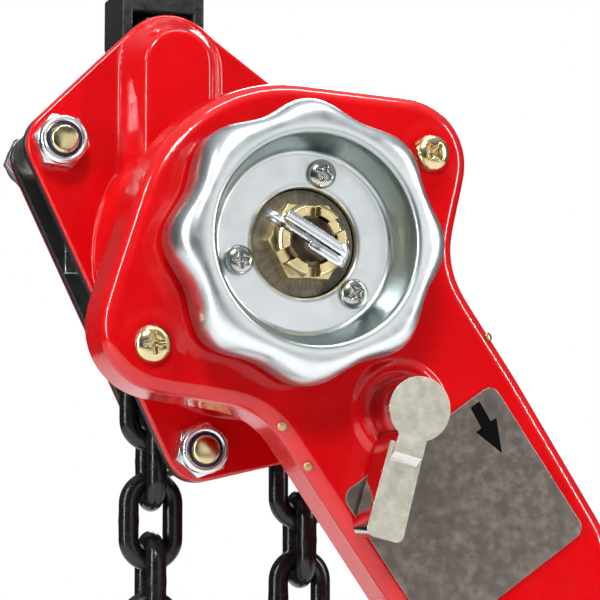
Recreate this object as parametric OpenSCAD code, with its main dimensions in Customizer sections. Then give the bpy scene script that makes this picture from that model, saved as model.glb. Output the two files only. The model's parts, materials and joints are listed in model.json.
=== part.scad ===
// Lever chain hoist, 1.5 t class: a ratchet lever and a dished hand wheel turn a
// drive shaft, a reduction gear turns a pocket wheel, and a load chain runs over it.
// Millimetres. +Z is up the load line, -Y is the hand wheel side.
// The origin is the centre of the top hook's bowl, where the hoist hangs.

/* [Load chain] */
// Wire diameter of the chain
wire_d = 7.1; // [6.9:0.1:7.2]
// Inside length of one link
link_in = 21.15; // [21.1:0.05:21.3]
// Inside width of one link
link_w = 8.9; // [8.8:0.1:9.2]
// Links on the load side, an odd number
load_links = 11; // [5:2:21]
// Links on the slack side, an odd number
slack_links = 7; // [5:2:21]

/* [Frame] */
// Thickness of a side plate
plate_t = 4.5; // [4:0.5:5]
// Half the gap between the side plates
gap_half = 15; // [15:0.5:16]
// Sheet thickness of the pressed covers
sheet_t = 2.3; // [2:0.1:2.5]
// Height of the suspension pin over the shaft
pin_rise = 68; // [66:1:70]
// Outer radius of the brake cover's dome at its foot
dome_r = 54; // [53.5:0.5:54]
// Depth of the brake cover, from the side plate
dome_h = 35; // [34:0.5:35.5]
// Depth of the gear cover, from the side plate
gear_cover_h = 36; // [36:1:42]

/* [Lever] */
// Angle of the lever from straight down, towards +X
lever_angle = 34.5; // [34.5:0.5:34.5]
// Length from the shaft to the end of the grip
lever_len = 410; // [360:10:430]
// Half width of the lever's body on its left
lever_half = 39.5; // [38:0.5:40]
// Half width of the lever's body on its right
lever_right = 44; // [42:0.5:44.5]
// Distance of each closing screw from the shaft
ear_x = 58.5; // [57.5:0.5:59]
// Distance of the selector's pivot from the shaft
selector_at = 65; // [65:1:65]
// Selector setting, from neutral
selector_set = 50; // [50:1:50]

/* [Hand wheel] */
// Radius over the lobes
wheel_r = 46; // [45:0.5:47]
// Depth of the finger lobes
lobe_d = 2; // [1.5:0.1:2.2]
// Number of lobes
lobes = 8; // [6:1:10]
// Depth of the bowl
bowl_d = 14; // [13:0.5:14.5]

/* [Hooks] */
// Inside radius of a hook's bowl
bowl_r = 20; // [19:0.5:21]
// Radial thickness of a hook at its bowl
hook_t = 21; // [19:1:22]
// Half width of a hook at its bowl
hook_half = 9; // [8:0.5:10]

/* [Gears] */
// Gear module
gear_m = 2; // [2:1:2]
// Teeth of the shaft pinion
z_shaft = 11; // [11:1:11]
// Teeth of a disc gear
z_disc = 21; // [21:1:21]
// Teeth of a disc gear's pinion
z_pinion = 10; // [10:1:10]
// Teeth of the load gear
z_load = 22; // [22:1:22]

/* [Hidden] */
$fn = 48;
hull_fn = 24;
eps = 0.01;

// chain on the pocket wheel
pockets = 4;
link_pitch = link_in - 0.15;
wire_r = wire_d / 2;
link_mid = (link_w + wire_d) / 2;          // bar centre from the link's axis
link_bar = link_in + wire_d - 2 * link_mid; // straight length of a bar
pitch_r = 27.8;                             // radius of the chain's pivots on the wheel
flat_half_a = asin((link_in + wire_d) / 2 / pitch_r);
upright_half_a = 90 / 2 - flat_half_a;
flat_r = pitch_r * cos(flat_half_a);
upright_r = pitch_r * cos(upright_half_a);
strand_slack = 0.25;                        // end play where a strand meets the wheel

// stations along Y, from the chain plane out to the front (negative) and the back
plate_out = gap_half + plate_t;
cover_out = plate_out + sheet_t;
hub_y = [-30.5, -23];       // brake hub flange
ratchet_y = [-39.5, -32.5];
press_y = [-45, -41.6];     // pressing flange of the change gear
lever_back = -59;
lever_face = -76;
shell_t = 2.5;
gear_y = [-69.2, -62.2];    // teeth of the change gear
wheel_back = -79.5;
floor_y = -86;              // front of the hand wheel's floor
floor_t = 3;
rim_y = floor_y - bowl_d;
disc_y = [-83.5, -81.5];        // retaining disc, sunk in the floor
nut_y = [-95.5, -83.5];
shaft_end = -94;

// gear train
gear_a = gear_m * (z_shaft + z_disc) / 2;
gear_dir = 150;             // direction of disc gear a, from +X
load_gear_y = [22, 31];
disc_gear_y = [34, 42];
bearing_y = [44.5, 48.5];
back_wall = plate_out + gear_cover_h;

// frame corners, from the shaft
pin_at = [-pitch_r, pin_rise];
bolt_a = [-67, 39];
bolt_b = [-16.7, -66];
bolt_c = [62, -48.5];
corners = [bolt_a, bolt_b, bolt_c];
lobe_r = 11.3;
rear_less = 2.5;            // the gear side is this much smaller all round
pin_lobe = 18.5;
bolt_r = 5;
nut_h = 9.5;

// hooks and their blocks
block_top = 31;             // pin to hook seat, top block
block_bottom = 35;
hook_seat = 46;             // hook seat to bowl centre
shaft_z = -(pin_rise + block_top + hook_seat);
hook_mid = bowl_r + hook_t / 2;

// brake
ratchet_r = 34;
ratchet_root = 30;
pawl_pin_r = 45;
pawl_face = [20, 200];      // direction of the tooth face that each pawl stops
ratchet_teeth = 12;

red = [0.80, 0.02, 0.04];
black = [0.07, 0.07, 0.07];
zinc = [0.78, 0.80, 0.82];
brass = [0.78, 0.62, 0.25];
steel = [0.45, 0.44, 0.42];
dark = [0.28, 0.26, 0.24];
rubber = [0.06, 0.06, 0.06];

// ---------- placing ----------

// the shaft frame: origin on the shaft, in the chain plane
module at_shaft() translate([pitch_r, 0, shaft_z]) children();

// a flat shape drawn in X and Z, made solid from y0 to y1
module slab(y0, y1) translate([0, y1, 0]) rotate([90, 0, 0]) linear_extrude(y1 - y0) children();

// a round bar along Y at [x, z]
module rod(at, r, y0, y1, fn = $fn)
    translate([at[0], y1, at[1]]) rotate([90, 0, 0]) cylinder(r = r, h = y1 - y0, $fn = fn);

// a ring along Y
module ring(at, r_out, r_in, y0, y1) difference() {
    rod(at, r_out, y0, y1);
    rod(at, r_in, y0 - 1, y1 + 1);
}

// turned about the shaft: profile points are [radius, y]
module turned(points) rotate([-90, 0, 0]) rotate_extrude($fn = 96) polygon(points);

// turned through part of a circle in the XZ plane, from a0 to a1
module swept(a0, a1) rotate([90, 0, 0]) rotate([0, 0, a0]) rotate_extrude(angle = a1 - a0) children();

// the lever's own frame: it hangs straight down from the shaft
module lever_frame() rotate([0, -lever_angle, 0]) children();

// the selector's frame: origin on its pivot, turned to its setting
module selector_frame()
    lever_frame() translate([0, 0, -selector_at]) rotate([0, selector_set, 0]) children();

function polar(r, a) = [r * cos(a), r * sin(a)];

// ---------- gear teeth ----------

pressure = 25;
function inv(a) = (tan(a) - a * PI / 180) * 180 / PI;
function flank(r, rb) = inv(acos(min(1, rb / r)));

// outline of an involute gear with one tooth centred on direction a0
function gear_points(z, a0, backlash = 0.18) =
    let (rp = gear_m * z / 2, rb = rp * cos(pressure), ra = rp + 0.8 * gear_m,
         rf = rp - 1.05 * gear_m, r0 = max(rf, rb), steps = 4,
         half = (PI * gear_m / 2 - backlash / 2) / (gear_m * z) * 180 / PI + inv(pressure),
         side = [for (i = [0:steps]) let (r = r0 + (ra - r0) * i / steps) [r, half - flank(r, rb)]],
         edge = concat([[rf, half + 0.4]], side))
    [for (t = [0:z - 1], s = [-1, 1], k = [0:len(edge) - 1])
        let (e = edge[s < 0 ? k : len(edge) - 1 - k]) polar(e[0], a0 + t * 360 / z + s * e[1])];

module gear_ring(z, a0, y0, y1) slab(y0, y1) polygon(gear_points(z, a0));

// ---------- chain ----------

// one link in the XZ plane, long along Z
module link() {
    for (s = [-1, 1]) {
        translate([s * link_mid, 0, -link_bar / 2]) cylinder(r = wire_r, h = link_bar, $fn = 32);
        translate([0, 0, s * link_bar / 2])
            swept(s > 0 ? 0 : 180, s > 0 ? 180 : 360) translate([link_mid, 0]) circle(wire_r, $fn = 32);
    }
}

// a hanging strand: link k is centred at z0 - k * link_pitch
module strand(x, z0, count, first_upright)
    for (k = [0:count - 1]) translate([x, 0, z0 - k * link_pitch])
        rotate([0, 0, (k % 2 == 0) == first_upright ? 0 : 90]) link();

load_z0 = wire_r - link_in / 2 + strand_slack;
slack_z0 = -(link_in + wire_d) / 2 + strand_slack + 0.4;
load_end = load_z0 - (load_links - 1) * link_pitch;
slack_end = slack_z0 - (slack_links - 1) * link_pitch;
chain_pin_r = 4;
chain_pin_z = load_end - link_in / 2 + chain_pin_r + 0.15;

module load_chain() color(black) strand(-pitch_r, load_z0, load_links, true);
module slack_chain() color(black) strand(pitch_r, slack_z0, slack_links, false);

// the links that lie on the pocket wheel, from the left side over the top
module wrapped_chain() color(black)
    for (k = [0, 1]) {
        rotate([0, -(180 - flat_half_a - 90 * k), 0]) translate([flat_r, 0, 0]) rotate([0, 0, 90]) link();
        rotate([0, -(90 + upright_half_a - 90 * k), 0]) translate([upright_r, 0, 0]) link();
    }

// round ring that stops the slack end from running through
ring_wire = 2.5;
ring_mid = 15;
ring_z = slack_end - link_in / 2 + ring_wire + 0.2 - ring_mid;
module stop_ring() color(zinc) translate([pitch_r, 0, ring_z])
    rotate([90, 0, 0]) rotate([0, 0, 90]) rotate_extrude() translate([ring_mid, 0]) circle(ring_wire, $fn = 32);

// ---------- pocket wheel ----------

sheave_half = 14;
journal_r = 17;
sheave_bore = 9.6;
rim_flange_r = 31;
tooth_r = 27.5;
module load_sheave() color(steel) difference() {
    turned([[sheave_bore, -plate_out - 0.5], [journal_r, -plate_out - 0.5], [journal_r, -sheave_half],
        [rim_flange_r, -sheave_half], [rim_flange_r, -12.4], [tooth_r, -12.4], [tooth_r, -4.4], [14.8, -4.4],
        [14.8, 4.4], [tooth_r, 4.4], [tooth_r, 12.4], [rim_flange_r, 12.4], [rim_flange_r, sheave_half],
        [journal_r, sheave_half], [journal_r, plate_out + 0.8], [14, plate_out + 0.8],
        [14, load_gear_y[1] + 1], [sheave_bore, load_gear_y[1] + 1]]);
    for (k = [0:pockets - 1]) rotate([0, -(180 - flat_half_a - 90 * k), 0]) translate([20.1, 0, 0]) {
        for (s = [-1, 1]) translate([0, 0, s * (link_bar / 2 + 0.3)]) rotate([0, 90, 0]) cylinder(r = 12.15, h = 12);
        translate([0, -12.15, -link_bar / 2 - 0.3]) cube([12, 24.3, link_bar + 0.6]);
    }
    for (s = [-1, 1]) translate([s * 14 - 2, load_gear_y[0] - 0.7, -2]) cube([4, 12, 4]);
}

module load_gear() color(dark) {
    difference() {
        gear_ring(z_load, gear_dir, load_gear_y[0], load_gear_y[1]);
        rod([0, 0], 14.05, load_gear_y[0] - 1, load_gear_y[1] + 1);
    }
    for (s = [-1, 1]) translate([s * 13.2 - 1, load_gear_y[0], -1.8]) cube([2, 9, 3.6]);
}

module disc_gear(a, wheel_phase, pinion_phase) color(dark)
    translate([gear_a * cos(a), 0, gear_a * sin(a)]) {
        gear_ring(z_disc, wheel_phase, disc_gear_y[0], disc_gear_y[1]);
        gear_ring(z_pinion, pinion_phase, load_gear_y[0] + 0.5, load_gear_y[1] + 0.5);
        rod([0, 0], 8, load_gear_y[1] + 0.4, disc_gear_y[0] + 0.1);
        rod([0, 0], 5, gap_half + 0.6, bearing_y[1] + 1);
    }

module disc_gear_a() disc_gear(gear_dir, gear_dir + 180 + 180 / z_disc, gear_dir + 180 + 180 / z_pinion);
module disc_gear_b() disc_gear(gear_dir + 180, gear_dir, gear_dir + 180 / z_pinion);

// ---------- frame ----------

module plate_outline(grow = 0) hull() {
    for (c = corners) translate(c) circle(lobe_r + grow, $fn = hull_fn * 2);
    translate(pin_at) circle(pin_lobe + grow, $fn = hull_fn * 2);
    circle(dome_r + 4 + grow, $fn = 72);
}

// the left side of the outline runs straight from corner to corner, inside the dome's foot
module frame_outline(grow = 0) intersection() {
    plate_outline(grow);
    hull() {
        for (c = [bolt_a, bolt_b]) translate(c) circle(lobe_r + grow, $fn = hull_fn * 2);
        translate([90, 110]) circle(lobe_r);
        translate([90, -70]) circle(lobe_r);
        translate([-45, 110]) circle(lobe_r);
    }
}

module side_plate(y0, y1, hole, grow) difference() {
    slab(y0, y1) frame_outline(grow);
    rod([0, 0], hole, y0 - 1, y1 + 1);
    for (c = corners) rod(c, bolt_r + 0.1, y0 - 1, y1 + 1);
    rod(pin_at, 7.05, y0 - 1, y1 + 1);
    rod([0, -57], 4.05, y0 - 1, y1 + 1);
    for (z = guide_tabs) for (s = [-1, 1]) translate([s * guide_x - 1.6, y0 - 1, z - 4.1]) cube([3.2, y1 - y0 + 2, 8.2]);
}

bush_r = 20;
module brake_side_plate() color(black) difference() {
    side_plate(-plate_out, -gap_half, bush_r, 0);
    for (a = pawl_face) rod(polar(pawl_pin_r, a + 35), 3, -plate_out - 1, -gap_half + 1);
}
module gear_side_plate() color(black) difference() {
    side_plate(gap_half, plate_out, bush_r, -rear_less);
    for (a = [0, 180]) rod(polar(gear_a, gear_dir + a), 5.05, gap_half - 1, plate_out + 1);
}

module sheave_bushes() color(brass)
    for (s = [-1, 1]) ring([0, 0], bush_r - 0.02, journal_r + 0.05,
        min(s * gap_half, s * plate_out), max(s * gap_half, s * plate_out));

stud_end = cover_out + nut_h + 1.2;
module stay_bolts() color(brass)
    for (c = [bolt_a, bolt_c]) rod(c, bolt_r, -stud_end, stud_end, 32);

module stay_spacers() color(steel)
    for (c = [bolt_a, bolt_c]) ring(c, 8, bolt_r + 0.1, -gap_half, gap_half);

// short headed studs, clear of the chain
module cover_studs() color(brass) for (s = [-1, 1]) {
    rod(bolt_b, bolt_r, min(s * gap_half, s * stud_end), max(s * gap_half, s * stud_end), 32);
    rod(bolt_b, 7, min(s * (gap_half - 2), s * gap_half), max(s * (gap_half - 2), s * gap_half), 32);
}

nut_af = 17;
collar_r = 8.4;
// a nylon-insert nut: hexagon, then a round collar, with a seat for the insert
module lock_nut() difference() {
    union() {
        cylinder(r = nut_af / 2 / cos(30), h = 6.6, $fn = 6);
        cylinder(r = collar_r, h = nut_h);
    }
    translate([0, 0, -1]) cylinder(r = bolt_r + 0.02, h = nut_h + 2);
    translate([0, 0, nut_h - 3]) cylinder(r = 6.9, h = 4);
}
module at_nuts() for (c = corners) {
    translate([c[0], -cover_out, c[1]]) rotate([90, 0, 0]) rotate([0, 0, c[1] * 3]) children();
    translate([c[0], cover_out, c[1]]) rotate([-90, 0, 0]) rotate([0, 0, c[0] * 3]) children();
}
module lock_nuts() color(zinc) at_nuts() lock_nut();
module nut_inserts() color("midnightblue") at_nuts() translate([0, 0, nut_h - 2.9]) difference() {
    cylinder(r = 6.85, h = 2.2);
    translate([0, 0, -1]) cylinder(r = bolt_r + 0.02, h = 5);
}

module suspension_pin() color(steel) rod(pin_at, 7, -plate_out - 3.4, plate_out + 3.4);
module suspension_clips() color(dark) for (s = [-1, 1])
    ring(pin_at, 9.5, 7.02, min(s * (plate_out + 0.2), s * (plate_out + 1.8)), max(s * (plate_out + 0.2), s * (plate_out + 1.8)));

// casting under the wheel that lifts the chain out of its pockets
module chain_stripper() color(steel) difference() {
    union() {
        slab(-3.6, 3.6) hull() {
            translate([0, -57]) circle(7, $fn = hull_fn);
            translate([-12, -34]) circle(1.5, $fn = hull_fn);
            translate([12, -34]) circle(1.5, $fn = hull_fn);
        }
        rod([0, -57], 7, -gap_half, gap_half);
        rod([0, -57], 4, -plate_out, plate_out);
    }
    rod([0, 0], rim_flange_r + 1, -5, 5);
}

// bent guide sheets outside the two strands, held by tabs in both side plates
guide_x = 43;
guide_tabs = [-16, 16];
module chain_guides() color(zinc) for (s = [-1, 1]) {
    translate([s * guide_x - 1.25, -gap_half, -26]) cube([2.5, 2 * gap_half, 52]);
    for (z = guide_tabs) translate([s * guide_x - 1.25, -plate_out, z - 4]) cube([2.5, 2 * plate_out, 8]);
    if (s < 0) translate([-guide_x - 15, 6, -3]) cube([15.5, 3, 14]);
}

// ---------- pressed covers ----------

dome_top = 52;
// raised neck that covers the end of the suspension pin
neck_half = 18;
neck_h = 15;
module neck_shape(grow) hull() {
    translate([pin_at[0], pin_at[1] - 1]) circle(neck_half - 4.5 + grow, $fn = hull_fn * 2);
    translate([pin_at[0], 20]) circle(neck_half - 4.5 + grow, $fn = hull_fn * 2);
}

module cover_holes(y0, y1) for (c = corners) rod(c, bolt_r + 0.2, y0, y1);

module brake_cover() color(red) difference() {
    union() {
        slab(-cover_out, -plate_out) frame_outline(0);
        turned([[0, -plate_out - 1], [dome_r, -plate_out - 1], [dome_top, -plate_out - dome_h + 5],
            [47, -plate_out - dome_h], [0, -plate_out - dome_h]]);
        slab(-plate_out - neck_h, -plate_out) neck_shape(0);
    }
    turned([[0, -plate_out + 1], [dome_r - sheet_t, -plate_out + 1], [dome_top - sheet_t, -plate_out - dome_h + 6],
        [46, -plate_out - dome_h + sheet_t], [0, -plate_out - dome_h + sheet_t]]);
    slab(-plate_out - neck_h + sheet_t, -plate_out + 1) neck_shape(-sheet_t);
    rod([0, 0], 34.6, -60, 0);
    cover_holes(-40, 0);
}

module gear_dome(grow) hull() {
    circle(42 + grow, $fn = 72);
    for (a = [0, 180]) translate(polar(gear_a, gear_dir + a)) circle(27 + grow, $fn = hull_fn * 2);
}
module gear_cover() color(red) difference() {
    union() {
        slab(plate_out, cover_out) frame_outline(-rear_less);
        slab(plate_out, back_wall - 4) gear_dome(0);
        slab(back_wall - 5, back_wall) gear_dome(-3);
        slab(plate_out, plate_out + neck_h) neck_shape(0);
    }
    slab(plate_out - 1, back_wall - sheet_t) gear_dome(-sheet_t - 1);
    slab(plate_out - 1, plate_out + neck_h - sheet_t) neck_shape(-sheet_t);
    cover_holes(0, 40);
}

module gear_bearing_plate() color(steel) difference() {
    slab(bearing_y[0], bearing_y[1]) gear_dome(-sheet_t - 1.1);
    rod([0, 0], 7.05, bearing_y[0] - 1, bearing_y[1] + 1);
    for (a = [0, 180]) rod(polar(gear_a, gear_dir + a), 5.05, bearing_y[0] - 1, bearing_y[1] + 1);
}

// ---------- brake ----------

ratchet_pitch = 360 / ratchet_teeth;
module ratchet_wheel() color(steel) difference() {
    slab(ratchet_y[0], ratchet_y[1]) polygon([for (k = [0:ratchet_teeth - 1], e = [0:3])
        let (a = pawl_face[0] + k * ratchet_pitch)
        e < 3 ? polar(ratchet_root + (ratchet_r - ratchet_root) * (0.15 + 0.425 * e), a - ratchet_pitch * (0.85 - 0.425 * e))
              : polar(ratchet_root, a + 0.3)]);
    rod([0, 0], 17.1, -60, 0);
}

module friction_discs() color("saddlebrown") {
    ring([0, 0], 32, 20, hub_y[0] - 1.9, hub_y[0] - 0.1);
    ring([0, 0], 32, 20, press_y[1] + 0.1, ratchet_y[0] - 0.1);
}

// pawl in the frame of its own tooth: the tooth's face lies along +X
module pawl(face) color(dark) rotate([0, -face, 0]) difference() {
    slab(ratchet_y[0] + 0.3, ratchet_y[1] - 0.3) hull() {
        translate(polar(pawl_pin_r, 35)) circle(4.3, $fn = hull_fn);
        polygon([polar(ratchet_root + 0.8, 1.2), polar(ratchet_r + 1.5, 1), polar(ratchet_r + 2, 7), polar(ratchet_root + 1.7, 5)]);
    }
    rod(polar(pawl_pin_r, 35), 3.05, -60, 0);
}
module pawl_a() pawl(pawl_face[0]);
module pawl_b() pawl(pawl_face[1]);

module pawl_pins() color(steel) for (a = pawl_face) {
    rod(polar(pawl_pin_r, a + 35), 2.98, ratchet_y[0] - 2.2, -gap_half - 0.5);
    rod(polar(pawl_pin_r, a + 35), 4.2, ratchet_y[0] - 1.6, ratchet_y[0] + 0.1);
}

// two coils round the pin and an arm that presses on the pawl's back
module pawl_springs() color(steel) for (a = pawl_face) rotate([0, -a, 0]) {
    for (k = [0:4]) translate([pawl_pin_r * cos(35), -plate_out - 3.4 - 1.3 * k, pawl_pin_r * sin(35)])
        rotate([90, 0, 0]) rotate_extrude() translate([3.9, 0]) circle(0.68, $fn = 16);
}

// ---------- drive shaft and its fittings ----------

module drive_shaft() color(steel) difference() {
    union() {
        turned([[0, shaft_end], [7.2, shaft_end], [8, shaft_end + 1], [8, disc_y[1]], [9, disc_y[1]],
            [9, -76], [10, -76], [10, hub_y[0] - 9.4], [9.5, hub_y[0] - 9.4], [9.5, disc_gear_y[0] - 2],
            [8, disc_gear_y[0] - 2], [8, bearing_y[0] - 0.4], [7, bearing_y[0] - 0.4], [7, bearing_y[1] + 1], [0, bearing_y[1] + 1]]);
        gear_ring(z_shaft, gear_dir, disc_gear_y[0] - 0.8, disc_gear_y[1] + 0.8);
    }
    rotate([0, 30, 0]) translate([-12, cotter_y, 0]) rotate([0, 90, 0]) cylinder(r = 2.1, h = 24);
}

module brake_hub() color(dark) turned([[9.55, hub_y[1]], [32, hub_y[1]], [32, hub_y[0]], [17, hub_y[0]],
    [17, ratchet_y[0] - 0.3], [9.55, ratchet_y[0] - 0.3]]);

disc_r = 17.4;
module retaining_disc() color(dark) ring([0, 0], disc_r, 8.05, disc_y[0], disc_y[1]);

// castle nut: hexagon, round crown and six slots
nut_hex = 24;
crown_r = 11.8;
crown_h = 5.6;
slot_w = 4.4;
cotter_y = nut_y[0] + 3;
cotter_a = 30;
module castle_nut() color(brass) difference() {
    union() {
        translate([0, nut_y[1], 0]) rotate([90, 0, 0]) rotate([0, 0, -cotter_a - 30]) cylinder(r = nut_hex / 2 / cos(30), h = nut_y[1] - nut_y[0] - crown_h, $fn = 6);
        turned([[0, nut_y[1] - 1], [crown_r, nut_y[1] - 1], [crown_r, nut_y[0] + 1], [crown_r - 1, nut_y[0]], [0, nut_y[0]]]);
    }
    rod([0, 0], 8.05, -120, 0);
    for (k = [0:2]) rotate([0, cotter_a + 60 * k, 0])
        translate([-15, nut_y[0] - 1, -slot_w / 2]) cube([30, crown_h + 0.6, slot_w]);
}

// split pin: eye on one side, one leg folded back over the shaft's end
module cotter_pin() color(zinc) rotate([0, cotter_a, 0]) {
    translate([-14, cotter_y, 0]) rotate([0, 90, 0]) cylinder(r = 1.8, h = 27, $fn = 24);
    translate([-15.8, cotter_y, 0]) rotate([90, 0, 0]) rotate_extrude() translate([2.6, 0]) circle(1.3, $fn = 16);
    translate([11.6, cotter_y - 4.9, -1.3]) cube([1.6, 5.2, 2.6]);
    translate([-9.5, cotter_y - 6.2, -1.3]) cube([22.7, 1.4, 2.6]);
}

// ---------- hand wheel ----------

// radius over the lobes in direction a
function lobe(a, r, d) = r - d + d * cos(lobes * (a - 90));
module lobed(r, d) polygon([for (i = [0:143]) polar(lobe(i * 2.5, r, d), i * 2.5)]);

screw_ring = 23.3;
screw_dirs = [76, 196, 316];
module handwheel() color(zinc) difference() {
    union() {
        slab(wheel_back - 15, wheel_back) lobed(wheel_r, lobe_d);
        slab(rim_y + 3, wheel_back - 14) lobed(wheel_r - 1, lobe_d);
        slab(rim_y, rim_y + 4) lobed(wheel_r - 4, lobe_d * 0.9);
    }
    turned([[0, rim_y - 1], [34.5, rim_y - 1], [34.5, rim_y + 1], [31.5, floor_y - 2], [29.5, floor_y], [0, floor_y]]);
    turned([[28.4, floor_y + floor_t], [33.6, floor_y + floor_t], [36.6, rim_y + 5], [40, rim_y + 5], [41.5, wheel_back + 1], [28.4, wheel_back + 1]]);
    rod([0, 0], 28.4, floor_y + floor_t, 0);
    rod([0, 0], disc_r + 0.5, -120, 0);
    for (a = screw_dirs) rod(polar(screw_ring, a), 2.7, -120, 0);
}

module pan_screw(head_r, head_h, r, len) {
    // head up along +Z from 0, shank down
    difference() {
        intersection() {
            cylinder(r = head_r, h = head_h);
            translate([0, 0, head_h - head_r * 1.9]) sphere(r = head_r * 1.9);
        }
        for (a = [0, 90]) rotate([0, 0, a + 20]) translate([-head_r * 0.62, -0.65, head_h - 1.7]) cube([head_r * 1.24, 1.3, 3]);
    }
    translate([0, 0, -len]) cylinder(r = r, h = len + eps);
}

module handwheel_screws() color(zinc) for (a = screw_dirs)
    translate([screw_ring * cos(a), floor_y, screw_ring * sin(a)]) rotate([90, 0, 0]) pan_screw(4.9, 3.4, 2.5, 12);

change_r = 36;
change_root = 31;
change_teeth = 12;
module change_gear() color(dark) difference() {
    union() {
        rotate([0, -lever_angle, 0]) slab(gear_y[0], gear_y[1]) polygon([for (k = [0:change_teeth - 1], e = [0:3])
            polar([change_root, change_r, change_r, change_root][e], -90 + k * 30 + [-6, -4.5, 4.5, 6][e])]);
        turned([[0, press_y[1]], [32, press_y[1]], [32, press_y[0]], [25.8, press_y[0]], [25.8, gear_y[1] + eps],
            [28, gear_y[1] + eps], [28, floor_y + floor_t + 0.05], [0, floor_y + floor_t + 0.05]]);
    }
    rod([0, 0], 10.1, -120, 0);
    rod([0, 0], disc_r + 0.6, -120, -76.5);
    for (a = screw_dirs) rod(polar(screw_ring, a), 2.52, -120, -73);
}

// ---------- lever ----------

ear_mid = [50.4, 2];
ear_r = 23.6;
module lever_shape(grow = 0) {
    hull() {
        circle(56 + grow, $fn = 72);
        for (s = [-1, 1]) translate([s * ear_mid[0], ear_mid[1]]) circle(ear_r + grow, $fn = hull_fn * 2);
    }
    polygon([[-lever_half - grow, 10], [lever_right + grow, 10], [lever_right + grow, -80],
        [lever_right - 2 + grow, -140], [-lever_half - grow, -140]]);
    hull() {
        for (x = [10 - lever_half, lever_right - 12]) translate([x, -140]) circle(10 + grow, $fn = hull_fn);
        translate([0, -195]) square([2 * (16 + grow), 1], center = true);
    }
    translate([-16 - grow, -lever_len + 3 - grow]) square([2 * (16 + grow), lever_len - 195]);
}
module lever_outline(grow = 0) offset(r = -26 + grow, $fn = 72) offset(delta = 26) lever_shape(0);

module lever_holes(y0, y1, spindle_hole) {
    for (s = [-1, 1]) rod([s * ear_x, 0], 3.2, y0, y1);
    rod([0, -selector_at], spindle_hole, y0, y1);
    rivet_places() rod([0, 0], 1.6, y0, y1);
}
module rivet_places() for (s = [-1, 1]) {
    translate([s * 34.5, 0, -63]) children();
    translate([s * 34.5, 0, -146]) children();
    translate([s * 11, 0, -215]) children();
}

module lever_front_shell() color(red) lever_frame() difference() {
    slab(lever_face, lever_back) lever_outline(0);
    slab(lever_face + shell_t, lever_back + 1) lever_outline(-shell_t);
    rod([0, 0], 28.6, -120, 0);
    lever_holes(-120, 0, 5.1);
}
module lever_rear_shell() color(red) lever_frame() difference() {
    slab(lever_back - shell_t, lever_back) lever_outline(-shell_t - 0.15);
    rod([0, 0], 26, -90, -40);
    lever_holes(lever_back - shell_t - 1, 0, 5.05);
}

module lever_screws() color(brass) lever_frame() for (s = [-1, 1])
    translate([s * ear_x, lever_face, 0]) rotate([90, 0, 0]) pan_screw(6.1, 4, 3, lever_back - lever_face + 6);
module lever_screw_nuts() color(zinc) lever_frame() for (s = [-1, 1])
    translate([s * ear_x, lever_back, 0]) rotate([-90, 0, 0]) difference() {
        cylinder(r = 5.77, h = 5, $fn = 6);
        translate([0, 0, -1]) cylinder(r = 3.02, h = 8);
    }
module shell_rivets() color(brass) lever_frame() rivet_places() {
    rod([0, 0], 1.55, lever_face - 0.4, lever_back + 0.5, 24);
    rod([0, 0], 2.2, lever_face - 0.5, lever_face, 24);
    rod([0, 0], 2.2, lever_back, lever_back + 0.5, 24);
}

grip_half = 19.5;
module grip_shape(grow) hull() for (sx = [-1, 1], sy = [-1, 1])
    translate([sx * (grip_half - 9 + grow), sy * (16.5 - 9 + grow)]) circle(9, $fn = hull_fn);
module lever_grip() color(rubber) lever_frame() difference() {
    translate([0, (lever_face + lever_back) / 2, -lever_len]) linear_extrude(118) grip_shape(0);
    translate([-16.1, lever_face - 0.1, -lever_len + 2.8]) cube([32.2, lever_back - lever_face + 0.2, 130]);
}

plate_from = selector_at + 11;
plate_to = 136;
plate_half = 33;
module direction_plate() color([0.6, 0.58, 0.55]) lever_frame() slab(lever_face - 0.9, lever_face)
    hull() for (s = [-1, 1], z = [plate_from + 4, plate_to - 4]) translate([s * (plate_half - 4), -z]) circle(4, $fn = hull_fn);

// ---------- selector ----------

nose_r = 33.7;
nose_a = selector_set + 12.7;
cam_r = 15.5;
module selector_pawl() color(dark) selector_frame() difference() {
    slab(lever_face + shell_t + 0.4, lever_back - shell_t - 0.4) union() {
        circle(10, $fn = hull_fn * 2);
        for (s = [-1, 1]) hull() {
            translate(polar(5, 90 + s * nose_a)) circle(6, $fn = hull_fn);
            translate(polar(nose_r - 2, 90 + s * nose_a)) circle(2, $fn = hull_fn);
        }
        intersection() {
            circle(cam_r, $fn = 64);
            polygon([[0, 0], polar(40, -90 - selector_set - 14), polar(40, -90), polar(40, -90 + selector_set + 14)]);
        }
    }
    for (a = [-selector_set, 0, selector_set]) rod(polar(cam_r + 2.2, -90 + a), 3, -120, 0, 24);
    rod([0, 0], 5.05, -120, 0);
}

// round hub on the spindle, with a flat thumb arm
knob_top = lever_face - 18;
arm_len = 44;
module selector_knob() color([0.72, 0.71, 0.66]) selector_frame() {
    rod([0, 0], 10.6, knob_top, lever_face - 0.6);
    rod([0, 0], 5, lever_face - 1, lever_back + 1.2);
    slab(knob_top, lever_face - 2.4) polygon([[-5, 0], [5, 0], [5, -15.5], [-5, -15.5]]);
    translate([-4.9, 0, 0]) rotate([90, 0, 90]) linear_extrude(9.8)
        polygon([[knob_top, -15], [knob_top, -15.5], [knob_top + 3.1, -18.2], [knob_top + 3.1, -15]]);
    slab(knob_top + 3, lever_face - 2.4) hull() {
        translate([-6, -16]) square([12, 4]);
        translate([-4, -arm_len + 3]) circle(2.5, $fn = hull_fn);
        translate([4, -arm_len + 3]) circle(2.5, $fn = hull_fn);
    }
}

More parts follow.
